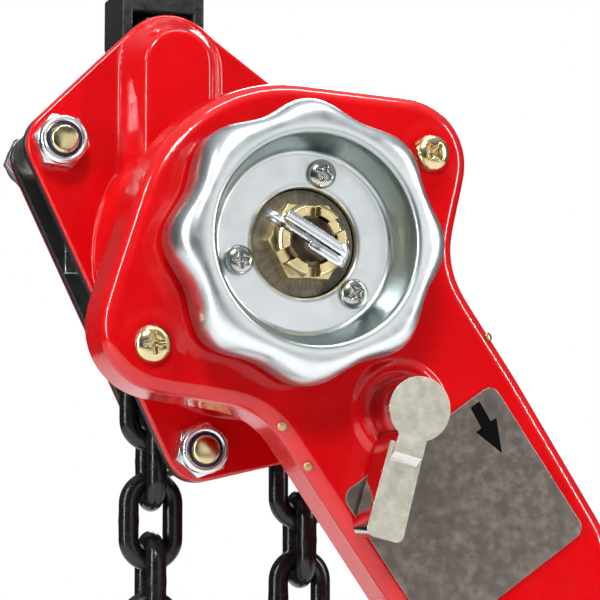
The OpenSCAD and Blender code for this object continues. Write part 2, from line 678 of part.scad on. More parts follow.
plunger_r = 3;
plunger_from = selector_at + cam_r + 0.25;
housing_from = plunger_from + 8;
detent_y = (lever_face + lever_back) / 2;
module along_lever(r, from, to, fn = $fn)
    translate([0, detent_y, -to]) cylinder(r = r, h = to - from, $fn = fn);
module detent_plunger() color(steel) lever_frame() {
    along_lever(plunger_r, plunger_from + 2, plunger_from + 13);
    translate([0, detent_y, -plunger_from - 2.6]) intersection() {
        sphere(r = plunger_r);
        translate([-5, -5, 0]) cube([10, 10, 2.6]);
    }
}
module detent_housing() color(zinc) lever_frame() difference() {
    translate([-9, lever_face + shell_t + 0.3, -housing_from - 18]) cube([18, lever_back - lever_face - 2 * shell_t - 0.6, 18]);
    along_lever(plunger_r + 0.06, housing_from - 1, housing_from + 16);
}
module detent_spring() color(steel) lever_frame() for (k = [0:7])
    translate([0, detent_y, -plunger_from - 15.6 - 0.9 * k]) rotate_extrude() translate([2.2, 0]) circle(0.55, $fn = 16);

// ---------- hook blocks ----------

// a block hangs on its pin at the origin and carries a hook towards +Z
module hook_block(pin_r, boss_r, half_y, half_x, cavity, length, slot) difference() {
    union() {
        rod([0, 0], boss_r, -half_y, half_y);
        slab(-half_y, half_y) polygon([[-boss_r, 0], [boss_r, 0], [half_x, cavity], [half_x, length - 2],
            [half_x - 2, length], [2 - half_x, length], [-half_x, length - 2], [-half_x, cavity]]);
    }
    rod([0, 0], pin_r + 0.05, -half_y - 1, half_y + 1);
    translate([-11, -half_y - 1, cavity]) cube([22, 2 * half_y + 2, 9.5]);
    translate([0, 0, cavity]) cylinder(r = 7.6, h = length);
    if (slot) translate([-30, -4.4, -15]) cube([60, 8.8, 29]);
}

module hook_nut(cavity) color(zinc) translate([0, 0, cavity + 1.2]) difference() {
    cylinder(r = 10.4, h = 7.4, $fn = 6);
    translate([0, 0, -1]) cylinder(r = 6.05, h = 10);
}

// ---------- hooks ----------

function hook_section(k) = [for (p = [[0, 4], [0.12, 7.2], [0.3, 9], [0.55, 8.8], [0.8, 7], [0.95, 4.2], [1, 2]])
    [bowl_r + hook_t * p[0] * k, p[1] * hook_half / 9 * k]];
module section(k) polygon(concat(hook_section(k), [for (i = [6:-1:0]) [hook_section(k)[i][0], -hook_section(k)[i][1]]]));

latch_at = [-11.5, -33.5];
// the throat side runs on a larger radius, so the latch closes outside the bowl's circle
throat_from = 150;
throat_to = 176;
tip_a = 196;
throat_r = 32;
// each length ends a little inside the one before, so no two skins lie on each other
module inner_section(inset) translate([inset, 0]) section(1 - 2 * inset / hook_t);
module throat_side() translate([-(throat_r - bowl_r) * cos(throat_from), 0, -(throat_r - bowl_r) * sin(throat_from)]) {
    swept(throat_from - 3, throat_to) translate([throat_r - bowl_r, 0]) inner_section(0.3);
    hull() {
        swept(throat_to - 3, throat_to - 1) translate([throat_r - bowl_r, 0]) inner_section(0.6);
        swept(tip_a - 1, tip_a) translate([throat_r - bowl_r, 0]) section(0.55);
    }
}
// a hook with its bowl centre at the origin and its shank down along -Z
module hook(shank_end) color(black) difference() {
    union() {
        swept(-48, throat_from + 1) section(1);
        throat_side();
        hull() {
            swept(-46, -44) inner_section(0.3);
            translate([0, 0, -hook_seat + 6]) cylinder(r = 9, h = 2, $fn = hull_fn);
        }
        hull() {
            rod(latch_at, 4, -3.4, 3.4, hull_fn);
            rod([-3, -39], 4, -3.4, 3.4, hull_fn);
        }
        translate([0, 0, -hook_seat + 0.3]) cylinder(r = 11, h = 6.2);
        translate([0, 0, -hook_seat - 10]) cylinder(r = 7.5, h = 11);
        translate([0, 0, -hook_seat - shank_end]) cylinder(r = 6, h = shank_end);
    }
    rod(latch_at, 2.05, -20, 20, 32);
}
// spring latch: two cheeks on the pin and a tongue that closes the throat
tongue = [-19.7, -8.6];
module latch() color(zinc) difference() {
    union() {
        for (s = [-1, 1]) rod(latch_at, 3.9, min(s * 3.7, s * 5.4), max(s * 3.7, s * 5.4), 32);
        slab(-5.4, 5.4) hull() {
            translate(latch_at + [-1.6, 5]) circle(1.2, $fn = hull_fn);
            translate(tongue) circle(1.2, $fn = hull_fn);
        }
        for (s = [-1, 1]) slab(min(s * 3.7, s * 5.4), max(s * 3.7, s * 5.4)) hull() {
            translate(latch_at) circle(3, $fn = hull_fn);
            translate(latch_at + [-1.6, 7]) circle(1.8, $fn = hull_fn);
        }
    }
    rod(latch_at, 2.05, -20, 20, 32);
}
module latch_pin() color(steel) {
    rod(latch_at, 2, -6.6, 6.6, 32);
    for (s = [-1, 1]) rod(latch_at, 3.2, min(s * 5.5, s * 6.6), max(s * 5.5, s * 6.6), 32);
}

cavity_top = 11.5;
cavity_bottom = 16;
module at_top_block() translate([pin_at[0], 0, pin_at[1]]) children();
module at_top_hook() at_top_block() translate([0, 0, block_top + hook_seat]) children();
module at_bottom_block() translate([-pitch_r, 0, chain_pin_z]) rotate([0, 180, 0]) children();
module at_bottom_hook() at_bottom_block() translate([0, 0, block_bottom + hook_seat]) children();

module top_block() at_top_block() color(black) hook_block(7, 12, 13.5, 15, cavity_top, block_top, false);
module bottom_block() at_bottom_block() color(black) hook_block(chain_pin_r, 8.5, 12.5, 15, cavity_bottom, block_bottom, true);
module top_hook_nut() at_top_block() hook_nut(cavity_top);
module bottom_hook_nut() at_bottom_block() hook_nut(cavity_bottom);
module top_hook() at_top_hook() hook(block_top - cavity_top - 0.8);
module bottom_hook() at_bottom_hook() hook(block_bottom - cavity_bottom - 0.8);
module top_latch() at_top_hook() latch();
module bottom_latch() at_bottom_hook() latch();
module top_latch_pin() at_top_hook() latch_pin();
module bottom_latch_pin() at_bottom_hook() latch_pin();

module chain_pin() color(zinc) at_bottom_block() {
    rod([0, 0], chain_pin_r, -12.5 - 6, 12.6);
    translate([0, 12.6, 0]) rotate([-90, 0, 0]) cylinder(r = 7.5, h = 4.5, $fn = 6);
    difference() {
        translate([0, -12.6, 0]) rotate([90, 0, 0]) cylinder(r = 7.5, h = 5, $fn = 6);
        rod([0, 0], chain_pin_r + 0.02, -30, 0);
    }
}

at_shaft() brake_side_plate();
at_shaft() gear_side_plate();
at_shaft() stay_bolts();
at_shaft() stay_spacers();
at_shaft() cover_studs();
at_shaft() lock_nuts();
at_shaft() nut_inserts();
at_shaft() brake_cover();
at_shaft() gear_cover();
at_shaft() gear_bearing_plate();
at_shaft() suspension_pin();
at_shaft() suspension_clips();
at_shaft() sheave_bushes();
at_shaft() chain_stripper();
at_shaft() chain_guides();
at_shaft() ratchet_wheel();
at_shaft() friction_discs();
at_shaft() pawl_pins();
at_shaft() pawl_springs();
at_shaft() pawl_a();
at_shaft() pawl_b();
at_shaft() drive_shaft();
at_shaft() brake_hub();
at_shaft() retaining_disc();
at_shaft() castle_nut();
at_shaft() cotter_pin();
at_shaft() handwheel();
at_shaft() change_gear();
at_shaft() handwheel_screws();
at_shaft() lever_front_shell();
at_shaft() lever_rear_shell();
at_shaft() lever_screws();
at_shaft() lever_screw_nuts();
at_shaft() shell_rivets();
at_shaft() lever_grip();
at_shaft() direction_plate();
at_shaft() detent_housing();
at_shaft() detent_spring();
at_shaft() detent_plunger();
at_shaft() selector_knob();
at_shaft() selector_pawl();
at_shaft() disc_gear_a();
at_shaft() disc_gear_b();
at_shaft() load_sheave();
at_shaft() load_gear();
at_shaft() wrapped_chain();
at_shaft() load_chain();
at_shaft() chain_pin();
at_shaft() slack_chain();
at_shaft() stop_ring();
at_shaft() top_block();
at_shaft() top_hook();
at_shaft() top_hook_nut();
at_shaft() top_latch();
at_shaft() top_latch_pin();
at_shaft() bottom_block();
at_shaft() bottom_hook();
at_shaft() bottom_hook_nut();
at_shaft() bottom_latch();
at_shaft() bottom_latch_pin();
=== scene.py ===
"""Looks for the lever chain hoist: pressed red covers, a dished zinc hand wheel, black chain and hooks.

Shapes are drawn in millimetres in the shaft frame (origin on the shaft in the chain plane, -Y is the front)
and land in the row frame in metres.
"""
import json
import math

import bmesh
import bpy
import numpy as np
from mathutils import Matrix, Vector
from mathutils.geometry import delaunay_2d_cdt
from mathutils.kdtree import KDTree


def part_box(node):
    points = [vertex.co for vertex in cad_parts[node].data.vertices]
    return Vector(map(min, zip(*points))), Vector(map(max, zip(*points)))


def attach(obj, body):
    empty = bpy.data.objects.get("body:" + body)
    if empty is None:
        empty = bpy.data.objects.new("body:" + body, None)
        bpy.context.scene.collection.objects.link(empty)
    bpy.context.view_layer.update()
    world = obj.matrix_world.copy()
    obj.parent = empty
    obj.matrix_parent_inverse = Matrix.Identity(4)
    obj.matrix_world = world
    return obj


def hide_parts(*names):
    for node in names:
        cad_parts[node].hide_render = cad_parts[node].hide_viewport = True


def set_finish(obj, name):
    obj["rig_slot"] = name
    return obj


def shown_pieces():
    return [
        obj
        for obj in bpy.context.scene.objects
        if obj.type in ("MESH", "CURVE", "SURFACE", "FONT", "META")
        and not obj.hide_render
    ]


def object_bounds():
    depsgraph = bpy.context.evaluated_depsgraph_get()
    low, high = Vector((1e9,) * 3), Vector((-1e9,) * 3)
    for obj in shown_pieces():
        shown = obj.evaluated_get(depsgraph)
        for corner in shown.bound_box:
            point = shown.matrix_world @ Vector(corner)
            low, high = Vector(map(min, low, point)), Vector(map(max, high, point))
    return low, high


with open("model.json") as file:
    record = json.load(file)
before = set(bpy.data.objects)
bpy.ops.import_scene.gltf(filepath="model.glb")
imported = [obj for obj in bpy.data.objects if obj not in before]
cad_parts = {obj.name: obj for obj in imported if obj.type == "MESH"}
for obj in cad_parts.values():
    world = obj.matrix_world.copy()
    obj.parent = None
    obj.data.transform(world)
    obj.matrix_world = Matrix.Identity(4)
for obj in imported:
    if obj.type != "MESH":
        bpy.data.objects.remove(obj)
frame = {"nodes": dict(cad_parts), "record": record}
cad_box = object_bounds()
NODES = frame["nodes"]
JOINTS = {j["name"]: j for j in frame["record"]["behaviour"]["joints"]}

MM = 0.001
shaft = Vector(JOINTS["lever_swing"]["pos_m"])
pivot = Vector(JOINTS["selector_turn"]["pos_m"])
LEVER_ANGLE = math.atan2(pivot.x - shaft.x, shaft.z - pivot.z)
SELECTOR_AT = (pivot - shaft).length / MM
TO_SHAFT = Matrix.Translation(shaft) @ Matrix.Scale(MM, 4)
TO_LEVER = TO_SHAFT @ Matrix.Rotation(-LEVER_ANGLE, 4, "Y")


def place_of(joint, turn=0.0):
    """Frame in millimetres at a joint's point, turned about Y."""
    return Matrix.Translation(Vector(JOINTS[joint]["pos_m"])) @ Matrix.Scale(MM, 4) @ Matrix.Rotation(turn, 4, "Y")


def low(node):
    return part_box(node)[0] / MM


def high(node):
    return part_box(node)[1] / MM


# ---------- materials ----------


class Graph:
    """Short way to write a node tree: a socket given as an input is linked, anything else is set."""

    def __init__(self, name):
        self.mat = bpy.data.materials.new(name)
        self.mat.use_nodes = True
        self.tree = self.mat.node_tree
        self.tree.nodes.clear()
        self.place = self.add("TexCoord").outputs["Object"]

    def add(self, kind, inputs=None, **props):
        node = self.tree.nodes.new("ShaderNode" + kind)
        for key, value in props.items():
            setattr(node, key, value)
        for key, value in (inputs or {}).items():
            socket = node.inputs[key]
            if isinstance(value, bpy.types.NodeSocket):
                self.tree.links.new(value, socket)
            else:
                socket.default_value = value
        return node

    def noise(self, scale, detail=3, rough=0.55, stretch=None, distortion=0.0):
        where = self.place
        if stretch:
            where = self.add("Mapping", {"Vector": where, "Scale": stretch}).outputs[0]
        return self.add("TexNoise", {"Vector": where, "Scale": scale, "Detail": detail,
                                     "Roughness": rough, "Distortion": distortion}).outputs["Fac"]

    def cells(self, scale, feature="F1"):
        return self.add("TexVoronoi", {"Vector": self.place, "Scale": scale}, feature=feature).outputs["Distance"]

    def ramp(self, fac, stops):
        node = self.add("ValToRGB", {"Fac": fac})
        marks = node.color_ramp.elements
        while len(marks) < len(stops):
            marks.new(0.5)
        for mark, (at, colour) in zip(marks, stops):
            mark.position = at
            mark.color = tuple(colour) + (1,) if len(colour) == 3 else colour
        return node.outputs["Color"]

    def span(self, fac, lo, hi, out_lo, out_hi):
        return self.add("MapRange", {"Value": fac, "From Min": lo, "From Max": hi,
                                     "To Min": out_lo, "To Max": out_hi}).outputs["Result"]

    def mix(self, fac, a, b, blend="MIX"):
        node = self.add("Mix", data_type="RGBA", blend_type=blend)
        for socket, value in zip((node.inputs[0], node.inputs[6], node.inputs[7]), (fac, a, b)):
            if isinstance(value, bpy.types.NodeSocket):
                self.tree.links.new(value, socket)
            else:
                socket.default_value = tuple(value) + (1,) if isinstance(value, (tuple, list)) and len(value) == 3 else value
        return node.outputs[2]

    def calc(self, op, a, b=0.0):
        node = self.add("Math", operation=op)
        for socket, value in zip(node.inputs, (a, b)):
            if isinstance(value, bpy.types.NodeSocket):
                self.tree.links.new(value, socket)
            else:
                socket.default_value = value
        return node.outputs[0]

    def bump(self, height, distance, strength=1.0, normal=None):
        inputs = {"Height": height, "Distance": distance, "Strength": strength}
        if normal:
            inputs["Normal"] = normal
        return self.add("Bump", inputs).outputs["Normal"]

    def bevel(self, radius):
        return self.add("Bevel", {"Radius": radius * MM}, samples=6).outputs["Normal"]

    def shade(self, **inputs):
        named = {key.replace("_", " "): value for key, value in inputs.items() if value is not None}
        colour = named.get("Base Color")
        if isinstance(colour, (tuple, list)) and len(colour) == 3:
            named["Base Color"] = tuple(colour) + (1,)
        shader = self.add("BsdfPrincipled", named)
        out = self.add("OutputMaterial")
        self.tree.links.new(shader.outputs[0], out.inputs["Surface"])
        return self.mat


def red_paint():
    g = Graph("red_enamel")
    tone = g.ramp(g.noise(28, 2), [(0.3, (0.52, 0.0015, 0.003)), (0.7, (0.62, 0.0022, 0.0045))])
    grime = g.span(g.noise(45, 5, 0.65), 0.62, 0.8, 0.0, 0.35)
    colour = g.mix(grime, tone, (0.30, 0.006, 0.008))
    ridge = g.add("NewGeometry").outputs["Pointiness"]
    chip = g.calc("MULTIPLY", g.span(ridge, 0.56, 0.62, 0.0, 1.0), g.span(g.noise(240, 4), 0.60, 0.64, 0.0, 1.0))
    colour = g.mix(chip, colour, (0.20, 0.05, 0.03))
    peel = g.noise(420, 2, 0.4)
    pull = g.noise(70, 2, 0.4)
    normal = g.bump(pull, 0.0009, 0.35, g.bump(peel, 0.00012, 0.35, g.bevel(0.5)))
    return g.shade(Base_Color=colour, Roughness=g.span(g.noise(90, 4), 0.3, 0.75, 0.17, 0.34), Normal=normal,
                   Specular_IOR_Level=0.15, Coat_Weight=0.9, Coat_Roughness=0.045,
                   Coat_Normal=g.bump(peel, 0.00012, 0.5), Coat_IOR=1.5)


def plated(name, tints, rough=(0.22, 0.3), grain=0.00002, edge=0.3, streak=None, metal=1.0):
    """Electroplate: a slightly clouded metal whose tint drifts over centimetres."""
    g = Graph(name)
    drift = g.noise(38, 4, 0.6, distortion=0.6)
    colour = g.ramp(drift, [(0.25 + 0.5 * i / (len(tints) - 1), t) for i, t in enumerate(tints)])
    cloud = g.noise(180, 4, 0.5)
    colour = g.mix(g.span(cloud, 0.35, 0.75, 0.0, 0.10), colour, tuple(0.8 * c for c in tints[0]))
    fine = g.noise(1500, 3, 0.6, stretch=streak)
    normal = g.bump(fine, grain, 0.35, g.bevel(edge))
    roughness = g.calc("ADD", g.span(cloud, 0.3, 0.7, rough[0], rough[1]), g.span(fine, 0.3, 0.7, -0.02, 0.02))
    return g.shade(Base_Color=colour, Metallic=metal, Roughness=roughness, Normal=normal)


def machined(name, colour, rough, ring_scale=0.0):
    """Bare or hardened steel with turning or grinding marks."""
    g = Graph(name)
    mottle = g.noise(160, 6, 0.7)
    tone = g.ramp(mottle, [(0.3, tuple(0.62 * c for c in colour)), (0.7, colour)])
    marks = g.noise(900, 2, 0.5, stretch=(1, 6, 1))
    normal = g.bump(marks, 0.00003, 0.5, g.bump(mottle, 0.00008, 0.3, g.bevel(0.35)))
    return g.shade(Base_Color=tone, Metallic=1.0, Roughness=g.span(mottle, 0.3, 0.75, rough - 0.08, rough + 0.12),
                   Normal=normal)


def stainless_plate():
    g = Graph("stainless_plate")
    smear = g.noise(26, 6, 0.62, distortion=1.2)
    spots = g.noise(210, 5, 0.7)
    scratch = g.noise(700, 3, 0.6, stretch=(0.12, 1, 1.6))
    colour = g.mix(g.span(smear, 0.3, 0.7, 0.0, 1.0), (0.40, 0.345, 0.30), (0.20, 0.17, 0.15))
    colour = g.mix(g.span(spots, 0.45, 0.75, 0.0, 0.5), colour, (0.52, 0.47, 0.41))
    rough = g.calc("ADD", g.span(smear, 0.3, 0.7, 0.30, 0.42), g.span(spots, 0.4, 0.8, 0.0, 0.1))
    normal = g.bump(scratch, 0.00002, 0.6, g.bump(smear, 0.0006, 0.1, g.bevel(0.25)))
    return g.shade(Base_Color=colour, Metallic=1.0, Roughness=rough, Normal=normal)


def selector_metal():
    """Die-cast selector: top faces dull and mottled, sides polished."""
    g = Graph("selector_cast")
    mottle = g.noise(300, 6, 0.68)
    top = g.span(g.add("SeparateXYZ", {"Vector": g.add("NewGeometry").outputs["True Normal"]}).outputs["Y"], -0.9, -0.7, 1.0, 0.0)
    dull = g.ramp(mottle, [(0.3, (0.40, 0.385, 0.32)), (0.7, (0.56, 0.54, 0.46))])
    colour = g.mix(top, (0.66, 0.64, 0.60), dull)
    rough = g.calc("ADD", g.calc("MULTIPLY", top, g.span(mottle, 0.3, 0.7, 0.34, 0.5)), 0.1)
    normal = g.bump(mottle, 0.00012, 0.3, g.bevel(0.5))
    return g.shade(Base_Color=colour, Metallic=1.0, Roughness=rough, Normal=normal)


def black_steel(name, colour, rough, metal, bump=0.00015):
    g = Graph(name)
    scale = g.noise(330, 6, 0.7)
    rub = g.span(g.add("NewGeometry").outputs["Pointiness"], 0.53, 0.6, 0.0, 0.5)
    tone = g.ramp(scale, [(0.35, tuple(0.6 * c for c in colour)), (0.75, tuple(1.5 * c for c in colour))])
    tone = g.mix(g.calc("MULTIPLY", rub, g.span(scale, 0.4, 0.6, 0.0, 1.0)), tone, (0.22, 0.21, 0.2))
    return g.shade(Base_Color=tone, Metallic=metal, Roughness=g.span(scale, 0.3, 0.7, rough - 0.08, rough + 0.12),
                   Normal=g.bump(scale, bump, 0.5, g.bevel(0.6)))


def soft(name, colour, rough, bump, scale=900, shine=0.5):
    g = Graph(name)
    grain = g.noise(scale, 4, 0.6)
    wear = g.noise(50, 4, 0.6)
    tone = g.ramp(wear, [(0.3, tuple(0.75 * c for c in colour)), (0.7, tuple(1.3 * c for c in colour))])
    return g.shade(Base_Color=tone, Roughness=g.span(wear, 0.3, 0.7, rough - 0.07, rough + 0.07),
                   Specular_IOR_Level=shine, Normal=g.bump(grain, bump, 0.5, g.bevel(0.4)))


def floor_paint():
    g = Graph("studio_floor")
    tone = g.ramp(g.noise(3, 3), [(0.3, (0.80, 0.80, 0.80)), (0.7, (0.84, 0.84, 0.84))])
    return g.shade(Base_Color=tone, Roughness=0.7)


MATERIALS = {
    "red_paint": red_paint(),
    "black_paint": black_steel("black_paint", (0.016, 0.016, 0.016), 0.32, 0.0, 0.00008),
    "zinc_plate": plated("bright_zinc", [(0.66, 0.72, 0.74), (0.78, 0.81, 0.82), (0.72, 0.74, 0.79)]),
    "yellow_zinc": plated("yellow_zinc", [(0.58, 0.43, 0.19), (0.76, 0.62, 0.34), (0.47, 0.41, 0.24)], (0.12, 0.26)),
    "bare_steel": machined("bare_steel", (0.42, 0.40, 0.36), 0.34),
    "dark_steel": machined("dark_steel", (0.17, 0.16, 0.14), 0.4),
    "spring_steel": machined("spring_steel", (0.45, 0.45, 0.45), 0.28),
    "bronze": machined("bronze", (0.60, 0.40, 0.18), 0.34),
    "chain_black": black_steel("chain_black", (0.010, 0.0098, 0.0095), 0.2, 0.2),
    "hook_black": black_steel("hook_black", (0.020, 0.020, 0.020), 0.36, 0.0, 0.0003),
    "plate_stainless": stainless_plate(),
    "selector_cast": selector_metal(),
    "friction_lining": soft("friction_lining", (0.16, 0.09, 0.05), 0.85, 0.0002),
    "nylon_blue": soft("nylon_blue", (0.012, 0.016, 0.075), 0.34, 0.00004),
    "grip_rubber": soft("grip_rubber", (0.018, 0.018, 0.019), 0.62, 0.00012),
}


def dished_zinc():
    """The wheel's plating: satin on the floor and rim, with painted shade down the wall of the dish and on the back of
    the outer flank.
    """
    g = Graph("dished_zinc")
    centre = g.add("VectorMath", {0: g.place, 1: tuple(shaft)}, operation="SUBTRACT").outputs[0]
    split = g.add("SeparateXYZ", {"Vector": centre})
    flat = g.add("CombineXYZ", {"X": split.outputs["X"], "Y": split.outputs["Z"]}).outputs[0]
    radius = g.add("VectorMath", {0: flat}, operation="LENGTH").outputs["Value"]
    drift = g.noise(38, 4, 0.6, distortion=0.6)
    tone = g.ramp(drift, [(0.3, (0.64, 0.69, 0.70)), (0.7, (0.76, 0.79, 0.80))])
    # painted shade: the wall of the dish is darkened towards a grey teal
    wall = g.calc("MULTIPLY", g.span(radius, 0.0288, 0.0306, 0.0, 1.0), g.span(radius, 0.0338, 0.0362, 1.0, 0.0))
    tone = g.mix(wall, tone, (0.30, 0.36, 0.365))
    front = low("handwheel").y * MM
    # painted shade: the back of the outer flank is darkened towards a brown grey
    flank = g.span(split.outputs["Y"], front + 0.006, front + 0.014, 0.0, 0.55)
    flank_shade = g.calc("MULTIPLY", flank, g.span(radius, 0.038, 0.040, 0.0, 1.0))
    tone = g.mix(flank_shade, tone, (0.30, 0.29, 0.26))
    cloud = g.noise(180, 4, 0.5)
    return g.shade(Base_Color=tone, Metallic=1.0, Roughness=g.span(cloud, 0.3, 0.7, 0.27, 0.36),
                   Normal=g.bump(g.noise(1500, 3, 0.6), 0.000015, 0.35, g.bevel(0.3)))


def scuffed_disc():
    """Bare steel disc with radial scuffs where the nut and the wheel have rubbed it."""
    g = Graph("scuffed_disc")
    middle_ = g.add("VectorMath", {0: g.place, 1: tuple(shaft)}, operation="SUBTRACT").outputs[0]
    split = g.add("SeparateXYZ", {"Vector": middle_})
    angle = g.calc("ARCTAN2", split.outputs["Z"], split.outputs["X"])
    radius = g.add("VectorMath", {0: middle_}, operation="LENGTH").outputs["Value"]
    polar = g.add("CombineXYZ", {"X": g.calc("MULTIPLY", angle, 4.5), "Y": g.calc("MULTIPLY", radius, 260.0)}).outputs[0]
    scuff = g.add("TexNoise", {"Vector": polar, "Scale": 3.2, "Detail": 5, "Roughness": 0.7}).outputs["Fac"]
    mottle = g.noise(300, 5, 0.7)
    tone = g.mix(g.span(scuff, 0.42, 0.62, 0.0, 1.0), (0.30, 0.26, 0.20), (0.50, 0.46, 0.38))
    tone = g.mix(g.span(mottle, 0.4, 0.65, 0.0, 0.75), tone, (0.22, 0.18, 0.13))
    return g.shade(Base_Color=tone, Metallic=1.0, Roughness=g.span(scuff, 0.3, 0.7, 0.52, 0.38),
                   Normal=g.bump(scuff, 0.0001, 0.5, g.bump(mottle, 0.0001, 0.4)))


DISC_STEEL = scuffed_disc()
WHEEL_ZINC = dished_zinc()
SCREW_ZINC = plated("screw_zinc", [(0.42, 0.43, 0.41), (0.56, 0.56, 0.52)], (0.16, 0.24))
SHAFT_STEEL = machined("oiled_shaft", (0.26, 0.19, 0.13), 0.3)
INK = soft("arrow_ink", (0.003, 0.003, 0.003), 0.7, 0.00002, shine=0.03)


# ---------- mesh helpers ----------


def piece(name, verts, faces, slot, body, nodes, to=TO_SHAFT, normals=None, sharp=35.0, material=None):
    """Makes a mesh from millimetre points, rides it on its body and stands it in for its CAD nodes."""
    mesh = bpy.data.meshes.new(name)
    mesh.from_pydata([to @ Vector(v) for v in verts], [], faces)
    mesh.update()
    mesh.shade_smooth()
    if normals is None:
        bm = bmesh.new()
        bm.from_mesh(mesh)
        bmesh.ops.recalc_face_normals(bm, faces=bm.faces)
        bm.to_mesh(mesh)
        bm.free()
        mesh.set_sharp_from_angle(angle=math.radians(sharp))
    else:
        turn = to.to_3x3().normalized()
        mesh.normals_split_custom_set_from_vertices([(turn @ Vector(n)).normalized() for n in normals])
    obj = bpy.data.objects.new(name, mesh)
    bpy.context.scene.collection.objects.link(obj)
    mesh.materials.append(material or MATERIALS[slot])
    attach(obj, body)
    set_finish(obj, slot)
    if nodes:
        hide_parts(*nodes)
    return obj


class Skin:
    """Collects points, normals and faces. Patches share no points, so each keeps its own normals."""

    def __init__(self):
        self.points, self.normals, self.faces = [], [], []

    def ring(self, points, normals):
        start = len(self.points)
        self.points += [tuple(p) for p in points]
        self.normals += [tuple(n) for n in normals]
        return range(start, len(self.points))

    def bridge(self, a, b, closed=True, flip=False):
        count = len(a)
        for i in range(count if closed else count - 1):
            j = (i + 1) % count
            quad = (a[i], a[j], b[j], b[i])
            self.faces.append(quad[::-1] if flip else quad)


def grid_faces(rows, cols, start=0, close_cols=True, close_rows=False):
    faces = []
    for r in range(rows if close_rows else rows - 1):
        for c in range(cols if close_cols else cols - 1):
            a, b = start + r * cols + c, start + r * cols + (c + 1) % cols
            down = (r + 1) % rows - r
            faces.append((a, b, b + down * cols, a + down * cols))
    return faces


def plane_loops(node, y, facing):
    """Boundary loops, as millimetre (x, z) about the shaft, of a CAD node's faces in the plane y. Largest first."""
    bm = bmesh.new()
    bm.from_mesh(NODES[node].data)
    bmesh.ops.remove_doubles(bm, verts=bm.verts, dist=2e-6)
    chosen = {f for f in bm.faces if f.normal.y * facing > 0.99 and abs(f.calc_center_median().y / MM - y) < 0.05}
    following = {}
    for f in chosen:
        for loop in f.loops:
            if not any(other in chosen for other in loop.edge.link_faces if other is not f):
                following[loop.vert] = loop.link_loop_next.vert
    loops = []
    while following:
        start = next(iter(following))
        chain, here = [], start
        while here in following:
            chain.append(((here.co.x - shaft.x) / MM, (here.co.z - shaft.z) / MM))
            here = following.pop(here)
        if len(chain) > 5:
            loops.append(np.array(chain))
    bm.free()
    loops.sort(key=lambda p: -abs(area(p)))
    return [p if area(p) > 0 else p[::-1] for p in loops]


def area(p):
    q = np.roll(p, -1, axis=0)
    return 0.5 * float(np.sum(p[:, 0] * q[:, 1] - q[:, 0] * p[:, 1]))


def turn2(p, angle):
    c, s = math.cos(angle), math.sin(angle)
    return p @ np.array([[c, s], [-s, c]])


def even(loop, step, smooth=0):
    """Resamples a closed loop to even steps and rounds its facets off."""
    for _ in range(2 if smooth else 1):
        closed = np.vstack([loop, loop[:1]])
        lengths = np.concatenate([[0], np.cumsum(np.linalg.norm(np.diff(closed, axis=0), axis=1))])
        count = max(12, int(lengths[-1] / step))
        at = np.linspace(0, lengths[-1], count, endpoint=False)
        loop = np.stack([np.interp(at, lengths, closed[:, k]) for k in (0, 1)], axis=1)
        for _ in range(smooth):
            loop = 0.5 * loop + 0.25 * (np.roll(loop, 1, axis=0) + np.roll(loop, -1, axis=0))
    return loop


def outward(loop):
    along = np.roll(loop, -1, axis=0) - np.roll(loop, 1, axis=0)
    side = np.stack([along[:, 1], -along[:, 0]], axis=1)
    return side / np.linalg.norm(side, axis=1)[:, None]


def circle(centre, r, count=96):
    a = np.linspace(0, 2 * math.pi, count, endpoint=False)
    return np.array(centre) + r * np.stack([np.cos(a), np.sin(a)], axis=1)


def inside(points, loop):
    x, z = points[:, 0][:, None], points[:, 1][:, None]
    ax, az = loop[:, 0][None], loop[:, 1][None]
    bx, bz = np.roll(ax, -1), np.roll(az, -1)
    crosses = ((az > z) != (bz > z)) & (x < (bx - ax) * (z - az) / (bz - az + 1e-12) + ax)
    return crosses.sum(axis=1) % 2 == 1


def distance(points, loop):
    """Distance from each point to a closed loop."""
    a, b = loop, np.roll(loop, -1, axis=0)
    best = np.full(len(points), 1e9)
    for start in range(0, len(points), 4000):
        p = points[start:start + 4000][:, None]
        t = np.clip(((p - a) * (b - a)).sum(2) / ((b - a) ** 2).sum(1), 0, 1)
        best[start:start + 4000] = np.linalg.norm(p - (a + t[..., None] * (b - a)), axis=2).min(1)
    return best


def rise(d, start, end):
    """0 before start, 1 past end, with an easy S between."""
    t = np.clip((d - start) / (end - start), 0, 1)
    return t * t * (3 - 2 * t)


def fillet_steps(radius, count=8):
    """(inset, drop, lean) along a quarter round, from the wall to the flat."""
    return [(radius * (1 - math.cos(a)), radius * (1 - math.sin(a)), a)
            for a in (math.pi / 2 * i / count for i in range(count + 1))]


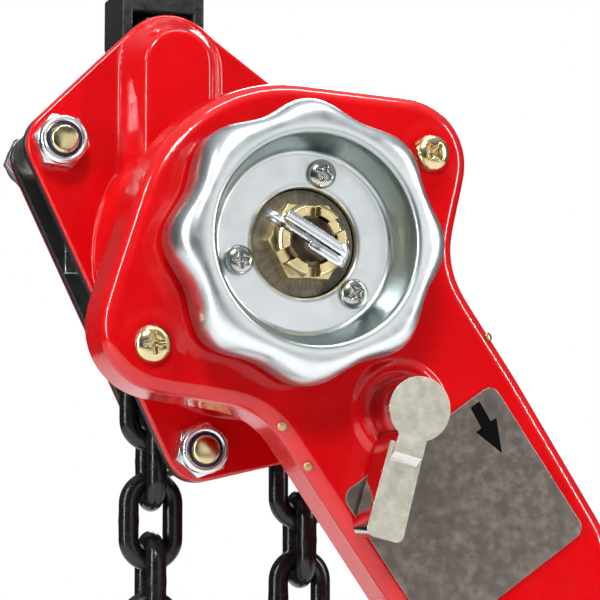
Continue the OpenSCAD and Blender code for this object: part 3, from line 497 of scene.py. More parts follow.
def pressing(outline, holes, face_y, height, fold, sheet, step=2.5, dense=(), side=-1, wall=0.0, draft=0.0):
    """A pressed sheet: a flat face with raised work, a rounded edge and, if wall > 0, a skirt.

    height(points) gives how far the face stands proud; side is -1 for a face that looks to -Y.
    """
    skin = Skin()
    normal = outward(outline)
    skirt, outline = outline, outline - normal * draft
    front = lambda p, h, drop=0.0: [(x, face_y + side * (v - drop), z) for (x, z), v in zip(p, h)]
    mix = lambda n, lean: [(x * math.cos(lean), side * math.sin(lean), z * math.cos(lean)) for x, z in n]
    base = height(outline - normal * fold)
    rings = []
    for inset, drop, lean in fillet_steps(fold):
        pts = outline - normal * inset
        rings.append(skin.ring(front(pts, base, drop), mix(normal, lean)))
    for a, b in zip(rings, rings[1:]):
        skin.bridge(a, b, flip=side > 0)
    depth = fold + wall
    foot = [(x, face_y + side * (-depth), z) for x, z in skirt]
    wall_normal = mix(normal, math.atan2(draft, wall) if wall else 0.0)
    if wall:
        skin.bridge(skin.ring(foot, wall_normal), skin.ring([skin.points[i] for i in rings[0]], wall_normal), flip=side > 0)
    inner = skirt - normal * sheet
    under = [(0, -side, 0)] * len(outline)
    lip = [(x, face_y - side * depth, z) for x, z in inner]
    skin.bridge(skin.ring(lip, under), skin.ring(foot, under), flip=side > 0)
    back = [(-x, 0, -z) for x, z in normal]
    top = [(x, face_y - side * sheet, z) for x, z in inner - normal * draft]
    skin.bridge(skin.ring(top, back), skin.ring(lip, back), flip=side > 0)

    # the face itself, as one triangulated field of points
    last = outline - normal * fold
    loops = [last] + list(holes)
    lo, hi = outline.min(0), outline.max(0)
    gx, gz = np.meshgrid(np.arange(lo[0], hi[0], step), np.arange(lo[1], hi[1], step))
    free = np.stack([gx.ravel() + 0.37 * step * (np.arange(gx.size) % 2), gz.ravel()], axis=1)
    if len(dense):
        crowd = np.vstack(dense)
        crowd = crowd[np.unique(np.round(crowd / 0.45), axis=0, return_index=True)[1]]
        tree = KDTree(len(crowd))
        for i, (x, z) in enumerate(crowd):
            tree.insert((x, z, 0), i)
        tree.balance()
        free = np.vstack([[q for q in free if tree.find((q[0], q[1], 0))[2] > 0.6 * step], crowd])
    free = free[inside(free, last)]
    for loop in loops:
        gap = 0.5 * np.linalg.norm(loop[1] - loop[0])
        free = free[distance(free, loop) > gap]
    for loop in holes:
        free = free[~inside(free, loop)]
    points, edges = [], []
    for loop in loops:
        start = len(points)
        points += [Vector(p) for p in loop]
        edges += [(start + i, start + (i + 1) % len(loop)) for i in range(len(loop))]
    points += [Vector(p) for p in free]
    found, _, tris, _, _, _ = delaunay_2d_cdt(points, edges, [], 0, 1e-7)
    flat = np.array([tuple(p) for p in found])
    centres = np.array([flat[list(t)].mean(0) for t in tris])
    keep = inside(centres, last)
    for loop in holes:
        keep &= ~inside(centres, loop)
    h = height(flat)
    e = 0.05
    slope = np.stack([(height(flat + [e, 0]) - height(flat - [e, 0])) / (2 * e),
                      (height(flat + [0, e]) - height(flat - [0, e])) / (2 * e)], axis=1)
    rows = skin.ring(front(flat, h), [(-s[0], side, -s[1]) for s in slope])
    for tri, good in zip(tris, keep):
        if good:
            a, b, c = (rows[i] for i in tri)
            skin.faces.append((a, b, c) if side < 0 else (a, c, b))
    for loop in holes:
        n = -outward(loop)
        h = height(loop)
        rim = [(x, 0, z) for x, z in n]
        skin.bridge(skin.ring(front(loop, h), rim), skin.ring(front(loop, h, sheet), rim), flip=side > 0)
    return skin


def lathe(profile, count=128, lobes=None, y_axis=True):
    """Turns (r, y, weight) points about the shaft. lobes(angle) is added to r, times the weight."""
    verts = []
    for r, y, *w in profile:
        for i in range(count):
            a = 2 * math.pi * i / count
            rr = r + (lobes(a) * w[0] if lobes and w else 0.0)
            verts.append((rr * math.cos(a), y, rr * math.sin(a)))
    return verts, grid_faces(len(profile), count)


def arc(cx, cy, r, a0, a1, steps=6):
    """Points of an arc in a profile, in degrees."""
    return [(cx + r * math.cos(math.radians(a0 + (a1 - a0) * i / steps)),
             cy + r * math.sin(math.radians(a0 + (a1 - a0) * i / steps))) for i in range(steps + 1)]


def tube(path, radius, sides=16, closed=False, flat=1.0):
    """Sweeps a round or flattened section along points."""
    path = [Vector(p) for p in path]
    count = len(path)
    verts = []
    ref = Vector((0, 1, 0))
    for i, p in enumerate(path):
        ahead = path[(i + 1) % count] if closed or i < count - 1 else p
        behind = path[i - 1] if closed or i > 0 else p
        along = (ahead - behind).normalized()
        side = along.cross(ref)
        side = side.normalized() if side.length > 1e-4 else Vector((1, 0, 0))
        up = side.cross(along).normalized()
        r = radius(i / count) if callable(radius) else radius
        for k in range(sides):
            a = 2 * math.pi * k / sides
            verts.append(p + side * (r * math.cos(a)) + up * (r * flat * math.sin(a)))
    faces = grid_faces(count, sides, close_rows=closed)
    if not closed:
        faces += [tuple(range(sides))[::-1], tuple(range((count - 1) * sides, count * sides))]
    return verts, faces


def join(parts):
    verts, faces = [], []
    for v, f in parts:
        start = len(verts)
        verts += list(v)
        faces += [tuple(i + start for i in face) for face in f]
    return verts, faces


def moved(part, matrix):
    return [matrix @ Vector(v) for v in part[0]], part[1]


# ---------- pressed covers ----------

SHEET = 2.3
LEVER_SHEET = 2.5
lever_face = low("lever_front_shell").y
lever_back = high("lever_front_shell").y
cover_face = low("brake_cover").y
flange_y = low("brake_side_plate").y - SHEET
neck_top = flange_y - 12.7
pin_mid = (low("suspension_pin") + high("suspension_pin")) / 2 - shaft / MM
pin_at = (pin_mid.x, pin_mid.z)


def lever_coords(loop):
    return turn2(loop, -LEVER_ANGLE)


shell_loops = [lever_coords(p) for p in plane_loops("lever_front_shell", lever_face, -1)]
shell_edge = even(shell_loops[0], 1.7, 3)
bore = circle((0, 0), 28.6, 160)
screw_ears = [p.mean(0) for p in shell_loops[1:] if 25 < abs(area(p)) < 40]
ear_holes = [circle(p, 3.1, 28) for p in screw_ears]
selector_hole = circle((0, -SELECTOR_AT), 5.1, 40)


def lever_height(p):
    """Raised ring round the selector, a low boss under each screw and a shallow dish round the hub."""
    d = np.hypot(p[:, 0], p[:, 1] + SELECTOR_AT)
    clear = rise(p[:, 1], -SELECTOR_AT - 10.5, -SELECTOR_AT - 3)
    ring = 1.5 * (1 - rise(d, 14.6, 18.2)) - 0.9 * (1 - rise(d, 10.5, 13.6))
    hub = np.hypot(p[:, 0], p[:, 1])
    dish = -0.15 * (1 - rise(hub, 46, 58))
    ears = sum(0.5 * (1 - rise(np.hypot(p[:, 0] - e[0], p[:, 1] - e[1]), 7.5, 12)) for e in screw_ears)
    return ring * clear + dish + ears


rings = [circle((0, -SELECTOR_AT), r, int(r * 4)) for r in np.arange(10.8, 18.9, 0.8)]
ears_dense = [circle(e, r, int(r * 4)) for e in screw_ears for r in (7.5, 8.7, 9.9, 11.1, 12.2)]
FOLD = 5.5
skin = pressing(shell_edge, [bore, selector_hole] + ear_holes, lever_face, lever_height, FOLD, LEVER_SHEET,
                3.0, rings + ears_dense, wall=abs(lever_face - lever_back) - FOLD, draft=1.3)
piece("lever_front_shell_pressed", skin.points, skin.faces, "red_paint", "lever", ["lever_front_shell"],
      TO_LEVER, skin.normals)

flange = even(plane_loops("brake_cover", flange_y, -1)[0], 1.7, 2)
bolts = [(high("cover_studs") + low("cover_studs")) / 2 - shaft / MM]
bolts = [(bolts[0].x, bolts[0].z)]
a, b = low("stay_bolts") - shaft / MM, high("stay_bolts") - shaft / MM
bolts += [(a.x + 5, b.z - 5), (b.x - 5, a.z + 5)]
bolt_holes = [circle(p, 5.2, 32) for p in bolts]


def to_segment(p, a, b):
    a, b = np.array(a), np.array(b)
    t = np.clip(((p - a) @ (b - a)) / ((b - a) @ (b - a)), 0, 1)
    return np.linalg.norm(p - (a + t[:, None] * (b - a)), axis=1)


def blend_max(a, b, k):
    """The larger of two heights, with a fillet of about k where they cross."""
    h = np.clip(0.5 + 0.5 * (a - b) / k, 0, 1)
    return b * (1 - h) + a * h + k * h * (1 - h)


def swell(d, foot, top, height):
    """Height of a steep pressed wall whose foot is at d = foot and whose shoulder is at d = top."""
    t = np.clip((foot - d) / (foot - top), 0, 1)
    return height * t * t * (3 - 2 * t)


dome_rise = flange_y - cover_face
neck_rise = flange_y - neck_top
neck_low = (pin_at[0], 20.0)
neck_high = (pin_at[0], pin_at[1] - 1)


def brake_height(p):
    r = np.hypot(p[:, 0], p[:, 1])
    dome = swell(r, 55.5, 46.0, dome_rise)
    neck = swell(to_segment(p, neck_low, neck_high), 19.5, 10.5, neck_rise)
    return np.clip(blend_max(dome, neck, 5.0) - 1.25 * (1 - rise(np.maximum(dome, neck), 0, 2)), 0, dome_rise)


def around_segment(a, b, r, step=2.0):
    """Closed loop at distance r from a segment along Z."""
    top = circle(b, r, max(24, int(6.3 * r / step)))
    low_ = circle(a, r, max(24, int(6.3 * r / step)))
    n = max(2, int((b[1] - a[1]) / step))
    sides = [np.stack([np.full(n, a[0] + s * r), np.linspace(a[1], b[1], n)], axis=1) for s in (-1, 1)]
    return np.vstack([top[top[:, 1] >= b[1]], low_[low_[:, 1] <= a[1]]] + sides)


dense = [circle((0, 0), r, 260) for r in np.arange(44.5, 57.2, 0.75)]
dense += [around_segment(neck_low, neck_high, r) for r in np.arange(9.8, 21, 0.9)]
skin = pressing(flange, [circle((0, 0), 34.6, 160)] + bolt_holes, flange_y, brake_height, 1.4, SHEET, 3.0, dense,
                wall=SHEET - 1.4)
piece("brake_cover_pressed", skin.points, skin.faces, "red_paint", "frame", ["brake_cover"], TO_SHAFT, skin.normals)

rear_flange_y = high("gear_side_plate").y + SHEET
rear_wall = high("gear_cover").y
rear_flange = even(plane_loops("gear_cover", rear_flange_y, 1)[0], 1.7, 2)
rear_top = even(plane_loops("gear_cover", rear_wall, 1)[0], 1.7, 2)


def gear_height(p):
    d = distance(p, rear_top) * np.where(inside(p, rear_top), -1.0, 1.0)
    dome = swell(d, 4.8, -0.4, rear_wall - rear_flange_y)
    neck = swell(to_segment(p, neck_low, neck_high), 19.5, 10.5, neck_rise)
    pads = 0.8 * (1 - rise(-d, 9, 12)) - 0.8
    return np.clip(blend_max(dome, neck, 5.0) - 1.25 * (1 - rise(np.maximum(dome, neck), 0, 2)), 0, 99) + pads * (dome > 30)


dense = [rear_top + outward(rear_top) * k for k in [*np.arange(-12.6, -1, 0.8), *np.arange(-0.8, 5.5, 0.45)]]
dense += [around_segment(neck_low, neck_high, r) for r in np.arange(9.8, 21, 0.9)]
skin = pressing(rear_flange, [circle(p, 5.2, 32) for p in bolts], rear_flange_y, gear_height, 1.4, SHEET, 3.4, dense,
                side=1, wall=SHEET - 1.4)
piece("gear_cover_pressed", skin.points, skin.faces, "red_paint", "frame", ["gear_cover"], TO_SHAFT, skin.normals)

# ---------- hand wheel ----------

wheel_back, rim_front = high("handwheel").y, low("handwheel").y
floor_front = rim_front + 14


def lobes(a):
    return -2.0 * (1 - math.cos(8 * (a - math.pi / 2)))


profile = [(17.9, floor_front + 2.8), (17.9, floor_front + 0.4), (18.3, floor_front)]
profile += [(r, floor_front) for r in (20, 23, 26, 28.2)]
profile += arc(28.4, floor_front - 2.4, 2.4, 90, 12, 6)
profile += [(31.9, floor_front - 6), (32.9, floor_front - 9)]
profile += [(p[0], p[1]) for p in arc(35.8, rim_front + 2.0, 2.2, 200, 262, 4)]
profile += [(37.2, rim_front, 0.05), (39.2, rim_front + 0.1, 0.2), (41.4, rim_front + 0.8, 0.42), (43.5, rim_front + 2.2, 0.64),
            (45.1, rim_front + 4.4, 0.84), (46.1, rim_front + 7.0, 0.95), (46.5, rim_front + 9.6, 1), (46.5, rim_front + 13, 1),
            (46.3, rim_front + 17, 1), (46.1, wheel_back - 0.6, 1), (45.8, wheel_back - 0.1, 1), (45.3, wheel_back, 1),
            (44.2, wheel_back, 1), (43.7, wheel_back - 0.5, 1), (43.3, wheel_back - 7, 1), (42, rim_front + 8, 0.9),
            (39.6, rim_front + 4, 0.4), (37.4, rim_front + 2.8, 0.1), (36.4, rim_front + 3.6, 0), (35.2, floor_front - 3, 0),
            (33.5, floor_front + 1.6, 0), (31, floor_front + 2.8, 0), (17.9, floor_front + 2.8, 0)]
verts, faces = lathe(profile, 288, lobes)
piece("handwheel_spun", verts, faces, "zinc_plate", "handwheel", ["handwheel"], sharp=50, material=WHEEL_ZINC)


def pan_head(r, h, slot_turn, deep=2.0, half=0.75, arms=0.62, count=72, rows=22):
    """A domed head with a cross recess, looking down -Y from y = 0."""
    verts, faces = [(0, 0, 0)], []
    profile = [(r * 0.985, 0), (r, 0.12 * h), (r, 0.3 * h)]
    for rr, up in profile:
        verts += [(rr * math.cos(2 * math.pi * i / count), -up, rr * math.sin(2 * math.pi * i / count)) for i in range(count)]
    for k in range(1, rows):
        rr = r * (1 - (k / rows)) ** 0.9
        for i in range(count):
            a = 2 * math.pi * i / count
            x, z = rr * math.cos(a + slot_turn), rr * math.sin(a + slot_turn)
            dome = h * (0.3 + 0.7 * math.sqrt(max(0.0, 1 - (rr / r) ** 2.4)))
            across, along = min(abs(x), abs(z)), max(abs(x), abs(z))
            width = half * (1.15 - 0.35 * along / (arms * r)) + 0.5 * max(0.0, 1 - along / (1.7 * half)) * half
            inside_ = max(0.0, min(1.0, (width - across) / 0.28)) * max(0.0, min(1.0, (arms * r - along) / 0.5))
            floor_ = deep * (1 - 0.35 * along / (arms * r))
            verts.append((rr * math.cos(a), -(dome - floor_ * inside_), rr * math.sin(a)))
    centre = len(verts)
    verts.append((0, -(h - deep), 0))
    faces = grid_faces(3 + rows - 1, count, 1)
    last = centre - count
    faces += [(last + i, last + (i + 1) % count, centre) for i in range(count)]
    return verts, faces


def bar(r, y0, y1, count=32, chamfer=0.4):
    verts, faces = lathe([(r - chamfer, y0), (r, y0 + chamfer), (r, y1 - chamfer), (r - chamfer, y1)], count)
    return verts, faces + [tuple(range(count))[::-1], tuple(range(3 * count, 4 * count))]


screw_parts = []
for k, a in enumerate((76, 196, 316)):
    at = Matrix.Translation((23.3 * math.cos(math.radians(a)), 0, 23.3 * math.sin(math.radians(a))))
    head = moved(pan_head(4.9, 3.2, 0.35 + 1.1 * k, 1.9, 0.62), at @ Matrix.Translation((0, floor_front, 0)))
    screw_parts += [head, moved(bar(2.45, floor_front - 0.2, floor_front + 11.8), at)]
verts, faces = join(screw_parts)
piece("handwheel_screws_cross", verts, faces, "zinc_plate", "handwheel", ["handwheel_screws"], sharp=38,
      material=SCREW_ZINC)

screw_parts = []
for k, e in enumerate(screw_ears):
    at = Matrix.Translation((e[0], 0, e[1]))
    head = moved(pan_head(6.1, 4.1, 0.5 - 0.7 * k, 2.5, 0.8), at @ Matrix.Translation((0, lever_face - 0.45, 0)))
    screw_parts += [head, moved(bar(2.98, lever_face - 0.2, lever_back + 5.6), at)]
verts, faces = join(screw_parts)
piece("lever_screws_cross", verts, faces, "yellow_zinc", "lever", ["lever_screws"], TO_LEVER, sharp=38)

# ---------- nuts, split pin ----------


def hex_nut(af, h, hole, chamfer=0.9, count=96):
    """Chamfered hexagon from y = 0 to y = -h."""
    def reach(i):
        a = (2 * math.pi * i / count) % (math.pi / 3) - math.pi / 6
        return af / 2 / math.cos(a)
    verts = []
    flat = af / 2 * 0.97
    for kind in range(6):
        for i in range(count):
            a, r = 2 * math.pi * i / count, reach(i)
            drop = (r - flat) * 0.5
            rr, y = [(hole, 0), (r * 0.995, 0), (r, -0.2), (r, -h + drop), (flat, -h), (hole, -h)][kind]
            verts.append((rr * math.cos(a), y, rr * math.sin(a)))
    return verts, grid_faces(6, count, close_rows=True)


def lock_nut():
    collar = [(6.1, -7.0), (6.0, -8.4), (6.15, -9.0), (6.55, -9.36), (7.1, -9.5), (7.6, -9.4), (8.05, -9.05), (8.33, -8.5),
              (8.42, -7.8), (8.42, -6.2), (8.5, -5.9)]
    return join([hex_nut(17, 6.0, 5.02), lathe(collar, 64)])


def insert_ring():
    return lathe([(4.95, -7.2), (4.5, -8.5), (4.75, -8.75), (5.3, -8.85), (5.85, -8.65), (6.05, -8.2), (6.05, -7.0)], 48)


nut_parts, inserts = [], []
for k, p in enumerate(bolts):
    turn = Matrix.Rotation(math.radians((40, 8, 75)[k]), 4, "Y")
    for to in (Matrix.Translation((p[0], flange_y, p[1])) @ turn,
               Matrix.Translation((p[0], rear_flange_y, p[1])) @ Matrix.Rotation(math.pi, 4, "Z") @ turn):
        nut_parts.append(moved(lock_nut(), to))
        inserts.append(moved(insert_ring(), to))
verts, faces = join(nut_parts)
piece("lock_nuts_chamfered", verts, faces, "zinc_plate", "frame", ["lock_nuts"], sharp=30)
verts, faces = join(inserts)
piece("nut_inserts_rolled", verts, faces, "nylon_blue", "frame", ["nut_inserts"], sharp=60)


def stud(y0, y1):
    """Stud with chamfered ends."""
    verts, faces = lathe([(4.05, y0), (4.3, y0 + 0.1), (5, y0 + 0.9), (5, y1 - 0.9), (4.3, y1 - 0.1), (4.05, y1)], 40)
    return verts, faces + [tuple(range(40))[::-1], tuple(range(200, 240))]


stud_end = high("stay_bolts").y
parts = [moved(stud(-stud_end, stud_end), Matrix.Translation((p[0], 0, p[1]))) for p in bolts[1:]]
verts, faces = join(parts)
piece("stay_bolts_chamfered", verts, faces, "yellow_zinc", "frame", ["stay_bolts"], sharp=50)
parts = []
for s in (-1, 1):
    at = Matrix.Translation((bolts[0][0], 0, bolts[0][1]))
    parts += [moved(stud(*sorted((s * 13.0, s * stud_end))), at), moved(bar(7, *sorted((s * 13.0, s * 15.0)), 32), at)]
verts, faces = join(parts)
piece("cover_studs_chamfered", verts, faces, "yellow_zinc", "frame", ["cover_studs"], sharp=50)

nut_top = low("castle_nut").y
COTTER = math.radians(30)


def strip(path, half_w, half_t, crown=0.25, sides=12):
    """Sweeps a half-round leg: path points are (x, y), width runs along z."""
    verts = []
    n = len(path)
    for i, (x, y, z, k) in enumerate(path):
        x0, y0 = path[max(i - 1, 0)][:2]
        x1, y1 = path[min(i + 1, n - 1)][:2]
        length = math.hypot(x1 - x0, y1 - y0)
        nx, ny = (y1 - y0) / length, -(x1 - x0) / length
        for j in range(sides):
            a = 2 * math.pi * j / sides
            c, s = math.cos(a), math.sin(a)
            w = half_w * k * math.copysign(abs(c) ** 0.55, c)
            t = half_t * k * math.copysign(abs(s) ** (0.6 if s > 0 else 1.0), s)
            verts.append((x + nx * t, y + ny * t, z + w))
    return verts, grid_faces(n, sides) + [tuple(range(sides))[::-1], tuple(range((n - 1) * sides, n * sides))]


cy = nut_top + 3
long_leg = [(x, nut_top - 1.0 - 0.35 * math.sin((x + 12) / 24 * 3.0), 2.0, 1) for x in np.linspace(-12.0, 9.5, 14)]
long_leg += [(9.5 + 2.6 * math.sin(t), nut_top + 1.6 - 2.6 * math.cos(t), 2.0 - 1.0 * t / 1.57, 1) for t in (0.4, 0.8, 1.2, 1.57)]
long_leg += [(12.1, cy, 0.9, 1), (11.9, cy + 0.6, 0.8, 0.9)]
short_leg = [(x, nut_top - 0.1 + 0.5 * (x < 2), -1.7, 0.7 + 0.3 * min(1, (x + 1) / 1.0)) for x in np.linspace(-0.8, 9.8, 10)]
short_leg += [(9.8 + 2.4 * math.sin(t), nut_top + 2.3 - 2.4 * math.cos(t), -1.7 + 0.8 * t / 1.57, 1) for t in (0.4, 0.8, 1.2, 1.57)]
short_leg += [(12.1, cy + 0.9, -0.9, 0.9)]
eye = tube([(-13.6 + 2.8 * math.cos(t), cy + 2.4 * math.sin(t), 0) for t in np.linspace(0, 2 * math.pi, 28, endpoint=False)], 1.15, 12, True)
body = tube([(x, cy + 0.3, 0) for x in np.linspace(-11, 12, 8)], 1.6, 16)
verts, faces = join([strip(long_leg, 1.75, 0.95), strip(short_leg, 1.7, 1.25), eye, body])
piece("split_pin_bent", verts, faces, "zinc_plate", "drive", ["cotter_pin"], TO_SHAFT @ Matrix.Rotation(COTTER, 4, "Y"), sharp=55)

# ---------- chain ----------

WIRE = 7.1
LINK_IN = 21.15
MID = (8.9 + WIRE) / 2
BAR = LINK_IN + WIRE - 2 * MID
PITCH = LINK_IN - 0.15


def link(matrix, weld=1):
    """One link in its own XZ plane, long along Z, with the weld's bead on one side."""
    path, n = [], 26
    for i in range(n):
        a = math.pi * i / (n - 1)
        path.append((MID * math.cos(a), 0, BAR / 2 + MID * math.sin(a)))
    side = [(-MID, 0, BAR / 2 - BAR * i / 6) for i in range(1, 6)]
    path += side + [(-x, 0, -z) for x, _, z in path] + [(-x, 0, -z) for x, _, z in side]
    n_all = len(path)
    here = n_all * (0.5 * (26 + 2.5) / n_all if weld > 0 else 1 - 2.5 / n_all)

    def radius(u):
        i = u * n_all
        gap = abs(i - (28.0 if weld > 0 else n_all - 3.0))
        return WIRE / 2 * (1 + 0.045 * math.exp(-gap * gap * 1.6))

    verts, faces = tube(path, radius, 20, True)
    return moved((verts, faces), matrix)


def strand(x, top, count, first_upright, spin=0.0):
    parts = []
    for k in range(count):
        upright = (k % 2 == 0) == first_upright
        at = Matrix.Translation((x, 0, top - (LINK_IN / 2 + WIRE) - k * PITCH))
        parts.append(link(at @ Matrix.Rotation(0 if upright else math.pi / 2, 4, "Z"), 1 if k % 3 else -1))
    return join(parts)


def middle(node):
    return (low(node) + high(node)) / 2 - shaft / MM


load_x, slack_x = middle("load_chain").x, middle("slack_chain").x
load_top, slack_top = (high(n).z - shaft.z / MM for n in ("load_chain", "slack_chain"))
load_count = round((load_top - (low("load_chain").z - shaft.z / MM) - LINK_IN - WIRE) / PITCH) + 1
slack_count = round((slack_top - (low("slack_chain").z - shaft.z / MM) - LINK_IN - WIRE) / PITCH) + 1
verts, faces = strand(load_x, load_top, load_count, True)
piece("load_chain_links", verts, faces, "chain_black", "load_strand", ["load_chain"], sharp=60)
verts, faces = strand(slack_x, slack_top, slack_count, False)
piece("slack_chain_links", verts, faces, "chain_black", "slack_strand", ["slack_chain"], sharp=60)

flat_half = math.asin((LINK_IN + WIRE) / 2 / slack_x)
up_half = math.pi / 4 - flat_half
parts = []
for k in (0, 1):
    for half, r, roll in ((math.pi - flat_half, slack_x * math.cos(flat_half), math.pi / 2),
                          (math.pi / 2 + up_half, slack_x * math.cos(up_half), 0)):
        turn = Matrix.Rotation(-(half - math.pi / 2 * k), 4, "Y")
        parts.append(link(turn @ Matrix.Translation((r, 0, 0)) @ Matrix.Rotation(roll, 4, "Z")))
verts, faces = join(parts)
piece("wrapped_chain_links", verts, faces, "chain_black", "sheave", ["wrapped_chain"], sharp=60)

# ---------- hooks ----------

BOWL, THICK, HALF = 20.0, 21.0, 9.0
SEAT = 46.0


def hook_forging(shank):
    """Forged hook: bowl centre at the origin, shank down -Z."""
    line = []
    for t in np.linspace(0, 1, 9)[:-1]:
        p = [np.array(q) for q in ((0, -SEAT + 5.5), (0, -SEAT + 14), (11.4, -30.8), (20.4, -22.7))]
        at = (1 - t) ** 3 * p[0] + 3 * t * (1 - t) ** 2 * p[1] + 3 * t * t * (1 - t) * p[2] + t ** 3 * p[3]
        line.append((at[0], at[1], 8.6 + 1.9 * t, 8.6 + 0.4 * t))
    for a in np.radians(np.linspace(-48, 150, 46)):
        line.append((30.5 * math.cos(a), 30.5 * math.sin(a), 10.5, HALF))
    cx, cz = -12 * math.cos(math.radians(150)), -12 * math.sin(math.radians(150))
    for deg in np.linspace(153, 196.5, 16):
        k = 1.0 if deg < 172 else 1 - 0.48 * (deg - 172) / 24.5
        if deg > 190:
            k *= math.sqrt(max(0.03, 1 - ((deg - 190) / 7.0) ** 2))
        a = math.radians(deg)
        r = 32 + 10.5 * (k if deg <= 190 else 0.65)
        line.append((cx + r * math.cos(a), cz + r * math.sin(a), 10.5 * k, HALF * k))
    verts, sides, n = [], 24, len(line)
    for i, (x, z, rr, ry) in enumerate(line):
        x0, z0 = line[max(i - 1, 0)][:2]
        x1, z1 = line[min(i + 1, n - 1)][:2]
        length = math.hypot(x1 - x0, z1 - z0)
        nx, nz = -(z1 - z0) / length, (x1 - x0) / length
        for j in range(sides):
            a = 2 * math.pi * j / sides
            c, s = math.cos(a), math.sin(a)
            wide = 1.0 + 0.10 * c
            verts.append((x + nx * rr * c, ry * wide * math.copysign(abs(s) ** 0.8, s), z + nz * rr * c))
    shell = verts, grid_faces(n, sides) + [tuple(range(sides))[::-1], tuple(range((n - 1) * sides, n * sides))]
    y_up = Matrix.Rotation(math.pi / 2, 4, "X")
    collar = [(0.1, -SEAT + 9), (8.6, -SEAT + 8), (10.2, -SEAT + 6.9), (11, -SEAT + 5.6), (11, -SEAT + 1.2), (10.2, -SEAT + 0.3),
              (7.5, -SEAT + 0.3), (7.5, -SEAT - 10), (6, -SEAT - 10.6), (6, -SEAT - shank + 1), (5.2, -SEAT - shank), (0.1, -SEAT - shank)]
    turned = moved(lathe([(r, z) for r, z in collar], 48), y_up)
    lug_path = [(-11.5, -33.5), (-3, -39)]
    d = np.array(lug_path[1]) - np.array(lug_path[0])
    base = math.atan2(d[1], d[0])
    rim = [(lug_path[0][0] + 4 * math.cos(t), lug_path[0][1] + 4 * math.sin(t)) for t in np.linspace(base + 1.57, base + 4.71, 14)]
    rim += [(lug_path[1][0] + 4 * math.cos(t), lug_path[1][1] + 4 * math.sin(t)) for t in np.linspace(base - 1.57, base + 1.57, 14)]
    lug = [(x, y, z) for y in (-3.4, 3.4) for x, z in rim]
    m = len(rim)
    lug_faces = grid_faces(2, m) + [tuple(range(m))[::-1], tuple(range(m, 2 * m))]
    return join([shell, turned, (lug, lug_faces)])


for name, joint, turn, shank in (("top", "top_latch_open", 0.0, 18.7), ("bottom", "bottom_latch_open", math.pi, 18.2)):
    origin = Vector((0, 0, 0)) if name == "top" else Vector((0, 0, low("bottom_hook").z + BOWL + THICK))
    to = Matrix.Scale(MM, 4) @ Matrix.Translation(origin) @ Matrix.Rotation(turn, 4, "Y")
    verts, faces = hook_forging(shank)
    piece(name + "_hook_forged", verts, faces, "hook_black", name + "_hook", [name + "_hook"], to, sharp=40)

# ---------- lever grip, rivets, arrow ----------


def grip():
    """Moulded sleeve with ribs and a thick end."""
    end, top = -410.0, -292.0
    rows, sides = [], 96
    def ring_of(z, hx, hy):
        pts = []
        for j in range(sides):
            a = 2 * math.pi * j / sides
            c, s = math.cos(a), math.sin(a)
            pts.append((hx * math.copysign(abs(c) ** 0.62, c), hy * math.copysign(abs(s) ** 0.62, s), z))
        return pts
    spots = [(top, 0.80), (top, 0.87), (top - 0.5, 0.925), (top - 1.6, 0.96), (top - 4, 0.98), (top - 7, 0.98)]
    z = top - 9
    while z > end + 16:
        spots += [(z, 0.97), (z - 0.4, 0.905), (z - 1.6, 0.895), (z - 2.0, 0.955), (z - 3.3, 0.965)]
        z -= 4.6
    spots += [(z, 0.97), (end + 9, 0.99), (end + 4, 1.0), (end + 1.6, 0.985), (end + 0.5, 0.94), (end, 0.86), (end, 0.05)]
    verts = []
    for z, k in spots:
        verts += ring_of(z, 19.5 * k, 16.5 * k)
    n = len(spots)
    inner = ring_of(top + 0.01, 16.2, 13.2)
    verts += inner
    faces = grid_faces(n, sides) + [tuple(range((n - 1) * sides, n * sides))]
    start = n * sides
    faces += [(start + j, start + (j + 1) % sides, (j + 1) % sides, j) for j in range(sides)]
    return moved((verts, faces), Matrix.Translation((0, (lever_face + lever_back) / 2, 0)))


verts, faces = grip()
piece("lever_grip_ribbed", verts, faces, "grip_rubber", "lever", ["lever_grip"], TO_LEVER, sharp=28)


def on_fold(x, z, inset):
    """Place on the rounded edge of the lever, tilted with it: the nearest outline point's side, inset from it."""
    i = int(np.argmin(np.hypot(shell_edge[:, 0] - x, shell_edge[:, 1] - z)))
    n = outward(shell_edge)[i]
    lean = math.acos(max(0.0, 1 - inset / FOLD))
    drop = FOLD * (1 - math.sin(lean))
    at = shell_edge[i] - n * inset
    tilt = Vector((n[0] * math.cos(lean), -math.sin(lean), n[1] * math.cos(lean)))
    turn = Vector((0, -1, 0)).rotation_difference(tilt).to_matrix().to_4x4()
    return Matrix.Translation((at[0], lever_face + drop, at[1])) @ turn


rivet = lathe([(1.5, 0.3), (1.5, -0.1), (1.2, -0.34), (0.7, -0.5), (0.02, -0.55)], 24)
spots = [(-38, -46, 3.2), (-38, -63, 2.6), (38, -63, 2.6), (-38, -146, 2.6), (38, -146, 2.6), (-16, -215, 3), (16, -215, 3)]
parts = [moved(rivet, on_fold(x, z, d)) for x, z, d in spots]
tails = [moved(bar(1.5, 0, 0.5, 20, 0.15), Matrix.Translation((s * x, lever_back, -z))) for s in (-1, 1) for x, z in ((34.5, 63), (34.5, 146), (11, 215))]
verts, faces = join(parts + tails)
piece("shell_rivet_heads", verts, faces, "bronze", "lever", ["shell_rivets"], TO_LEVER, sharp=50)

plate_face = low("direction_plate").y
arrow = [(21.5, -78.2), (25.4, -78.2), (25.0, -86.0), (27.4, -86.2), (22.3, -97.0), (18.4, -86.0), (20.8, -86.0)]
n = len(arrow)
verts = [(x, plate_face + y, z) for y in (0.02, -0.06) for x, z in arrow]
faces = grid_faces(2, n) + [tuple(range(n)), tuple(range(n, 2 * n))]
piece("direction_arrow", verts, faces, "black_paint", "lever", [], TO_LEVER, sharp=20, material=INK)

# ---------- the CAD nodes that carry over ----------

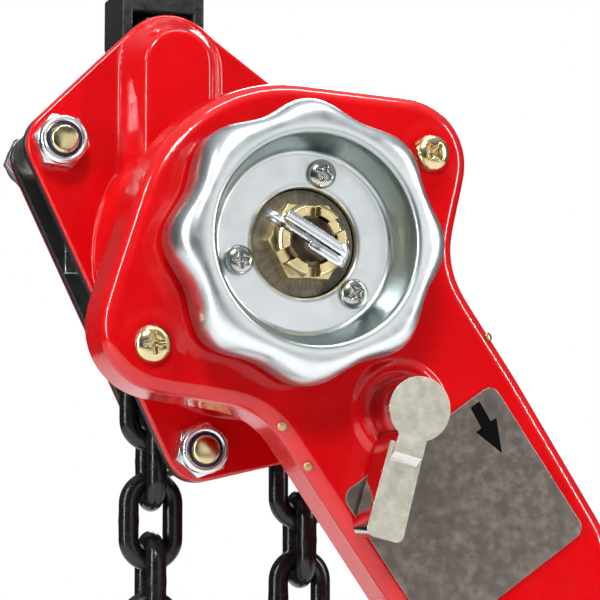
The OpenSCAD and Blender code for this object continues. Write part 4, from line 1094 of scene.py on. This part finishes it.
SLOT_OF = {s["node"]: s["material_slot"] for s in frame["record"]["subparts"]}
BEVELS = {"castle_nut": 0.7, "selector_knob": 0.35, "direction_plate": 0.25, "top_block": 0.8, "bottom_block": 0.8,
          "change_gear": 0.3, "chain_guides": 0.4, "brake_side_plate": 0.4, "gear_side_plate": 0.4, "drive_shaft": 0.3,
          "lever_rear_shell": 0.5, "chain_pin": 0.5, "top_hook_nut": 0.5, "bottom_hook_nut": 0.5, "lever_screw_nuts": 0.4}
for name, node in NODES.items():
    if node.hide_render:
        continue
    node.data.materials.clear()
    node.data.materials.append({"retaining_disc": DISC_STEEL, "drive_shaft": SHAFT_STEEL}.get(name, MATERIALS[SLOT_OF[name]]))
    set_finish(node, SLOT_OF[name])
    if name in BEVELS:
        weld = node.modifiers.new("weld", "WELD")
        weld.merge_threshold = 2e-6
        edge = node.modifiers.new("edges", "BEVEL")
        edge.width = BEVELS[name] * MM
        edge.segments = 3
        edge.limit_method = "ANGLE"
        edge.angle_limit = math.radians(35)
        edge.use_clamp_overlap = True
        node.data.shade_smooth()
        flat = node.modifiers.new("normals", "WEIGHTED_NORMAL")
        flat.mode = "FACE_AREA"
        flat.weight = 100
        flat.keep_sharp = False

# ---------- studio ----------

scene = bpy.context.scene
scene.view_settings.view_transform = "Standard"


def studio_world():
    world = bpy.data.worlds.new("studio")
    scene.world = world
    world.use_nodes = True
    t = world.node_tree
    t.nodes.clear()
    make = lambda kind, **p: t.nodes.new("ShaderNode" + kind)
    out, mix, path = make("OutputWorld"), make("MixShader"), make("LightPath")
    white, room = make("Background"), make("Background")
    white.inputs["Color"].default_value = (1, 1, 1, 1)
    white.inputs["Strength"].default_value = 1.0
    geo, split, ramp = make("TexCoord"), make("SeparateXYZ"), make("ValToRGB")
    t.links.new(geo.outputs["Generated"], split.inputs[0])
    t.links.new(split.outputs["Z"], ramp.inputs["Fac"])
    marks = ramp.color_ramp.elements
    marks[0].position, marks[0].color = 0.0, (0.03, 0.03, 0.032, 1)
    marks[1].position, marks[1].color = 0.95, (0.60, 0.63, 0.66, 1)
    marks.new(0.45).color = (0.10, 0.105, 0.11, 1)
    t.links.new(ramp.outputs["Color"], room.inputs["Color"])
    room.inputs["Strength"].default_value = 1.0
    t.links.new(path.outputs["Is Camera Ray"], mix.inputs["Fac"])
    t.links.new(room.outputs[0], mix.inputs[1])
    t.links.new(white.outputs[0], mix.inputs[2])
    t.links.new(mix.outputs[0], out.inputs["Surface"])


studio_world()
aim_at = shaft + Vector((0, -0.09, 0))


def softbox(name, direction, distance_, size, power, colour=(1, 1, 1)):
    light = bpy.data.lights.new(name, "AREA")
    light.shape = "RECTANGLE"
    light.size, light.size_y = size
    light.energy = power
    light.color = colour
    obj = bpy.data.objects.new(name, light)
    scene.collection.objects.link(obj)
    where = Vector(direction).normalized() * distance_
    obj.matrix_world = Matrix.Translation(aim_at + where) @ where.to_track_quat("Z", "Y").to_matrix().to_4x4()
    obj.visible_camera = False
    return obj


softbox("key", (-0.30, -0.72, 0.62), 1.3, (0.34, 0.22), 10)
softbox("left_strip", (-0.93, -0.30, 0.20), 1.0, (0.05, 0.9), 6.5)
softbox("right_strip", (0.85, -0.50, 0.22), 1.2, (0.05, 0.8), 8)
panel = softbox("metal_panel", (0.32, -0.94, 0.10), 1.5, (1.0, 0.8), 2.6)
bright = bpy.data.collections.new("lit_by_the_panel")
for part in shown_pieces():
    if part.get("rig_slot") in ("zinc_plate", "yellow_zinc", "selector_cast", "dark_steel", "bronze", "chain_black"):
        bright.objects.link(part)
panel.light_linking.receiver_collection = bright
softbox("top_strip", (0.10, -0.25, 0.96), 1.1, (0.8, 0.12), 7)
softbox("back_rim", (0.3, 0.9, 0.5), 1.5, (0.6, 0.6), 9)

bpy.ops.mesh.primitive_circle_add(vertices=96, radius=1.3, fill_type="NGON", location=(shaft.x, 0, cad_box[0][2] - 0.001))
ground = bpy.context.object
ground.name = "studio_floor"
ground.data.materials.append(floor_paint())

az, el, reach = math.radians(-19), math.radians(-5), 0.68
back = Vector((math.sin(az) * math.cos(el), -math.cos(az) * math.cos(el), math.sin(el)))
right = Vector((0, 0, 1)).cross(back).normalized()
up = back.cross(right)
rim = shaft + Vector((0, rim_front * MM, 0))
target = rim + right * (-19 / 3.15 * MM) + up * (-62 / 3.15 * MM)
camera = bpy.data.cameras.new("camera")
camera.lens = 3.15 * 680 * 36 / 600
camera.sensor_width = 36
camera.clip_start = 0.02
eye = bpy.data.objects.new("camera", camera)
scene.collection.objects.link(eye)
eye.matrix_world = Matrix.Translation(target + back * reach) @ Matrix((right, up, back)).transposed().to_4x4()
scene.camera = eye
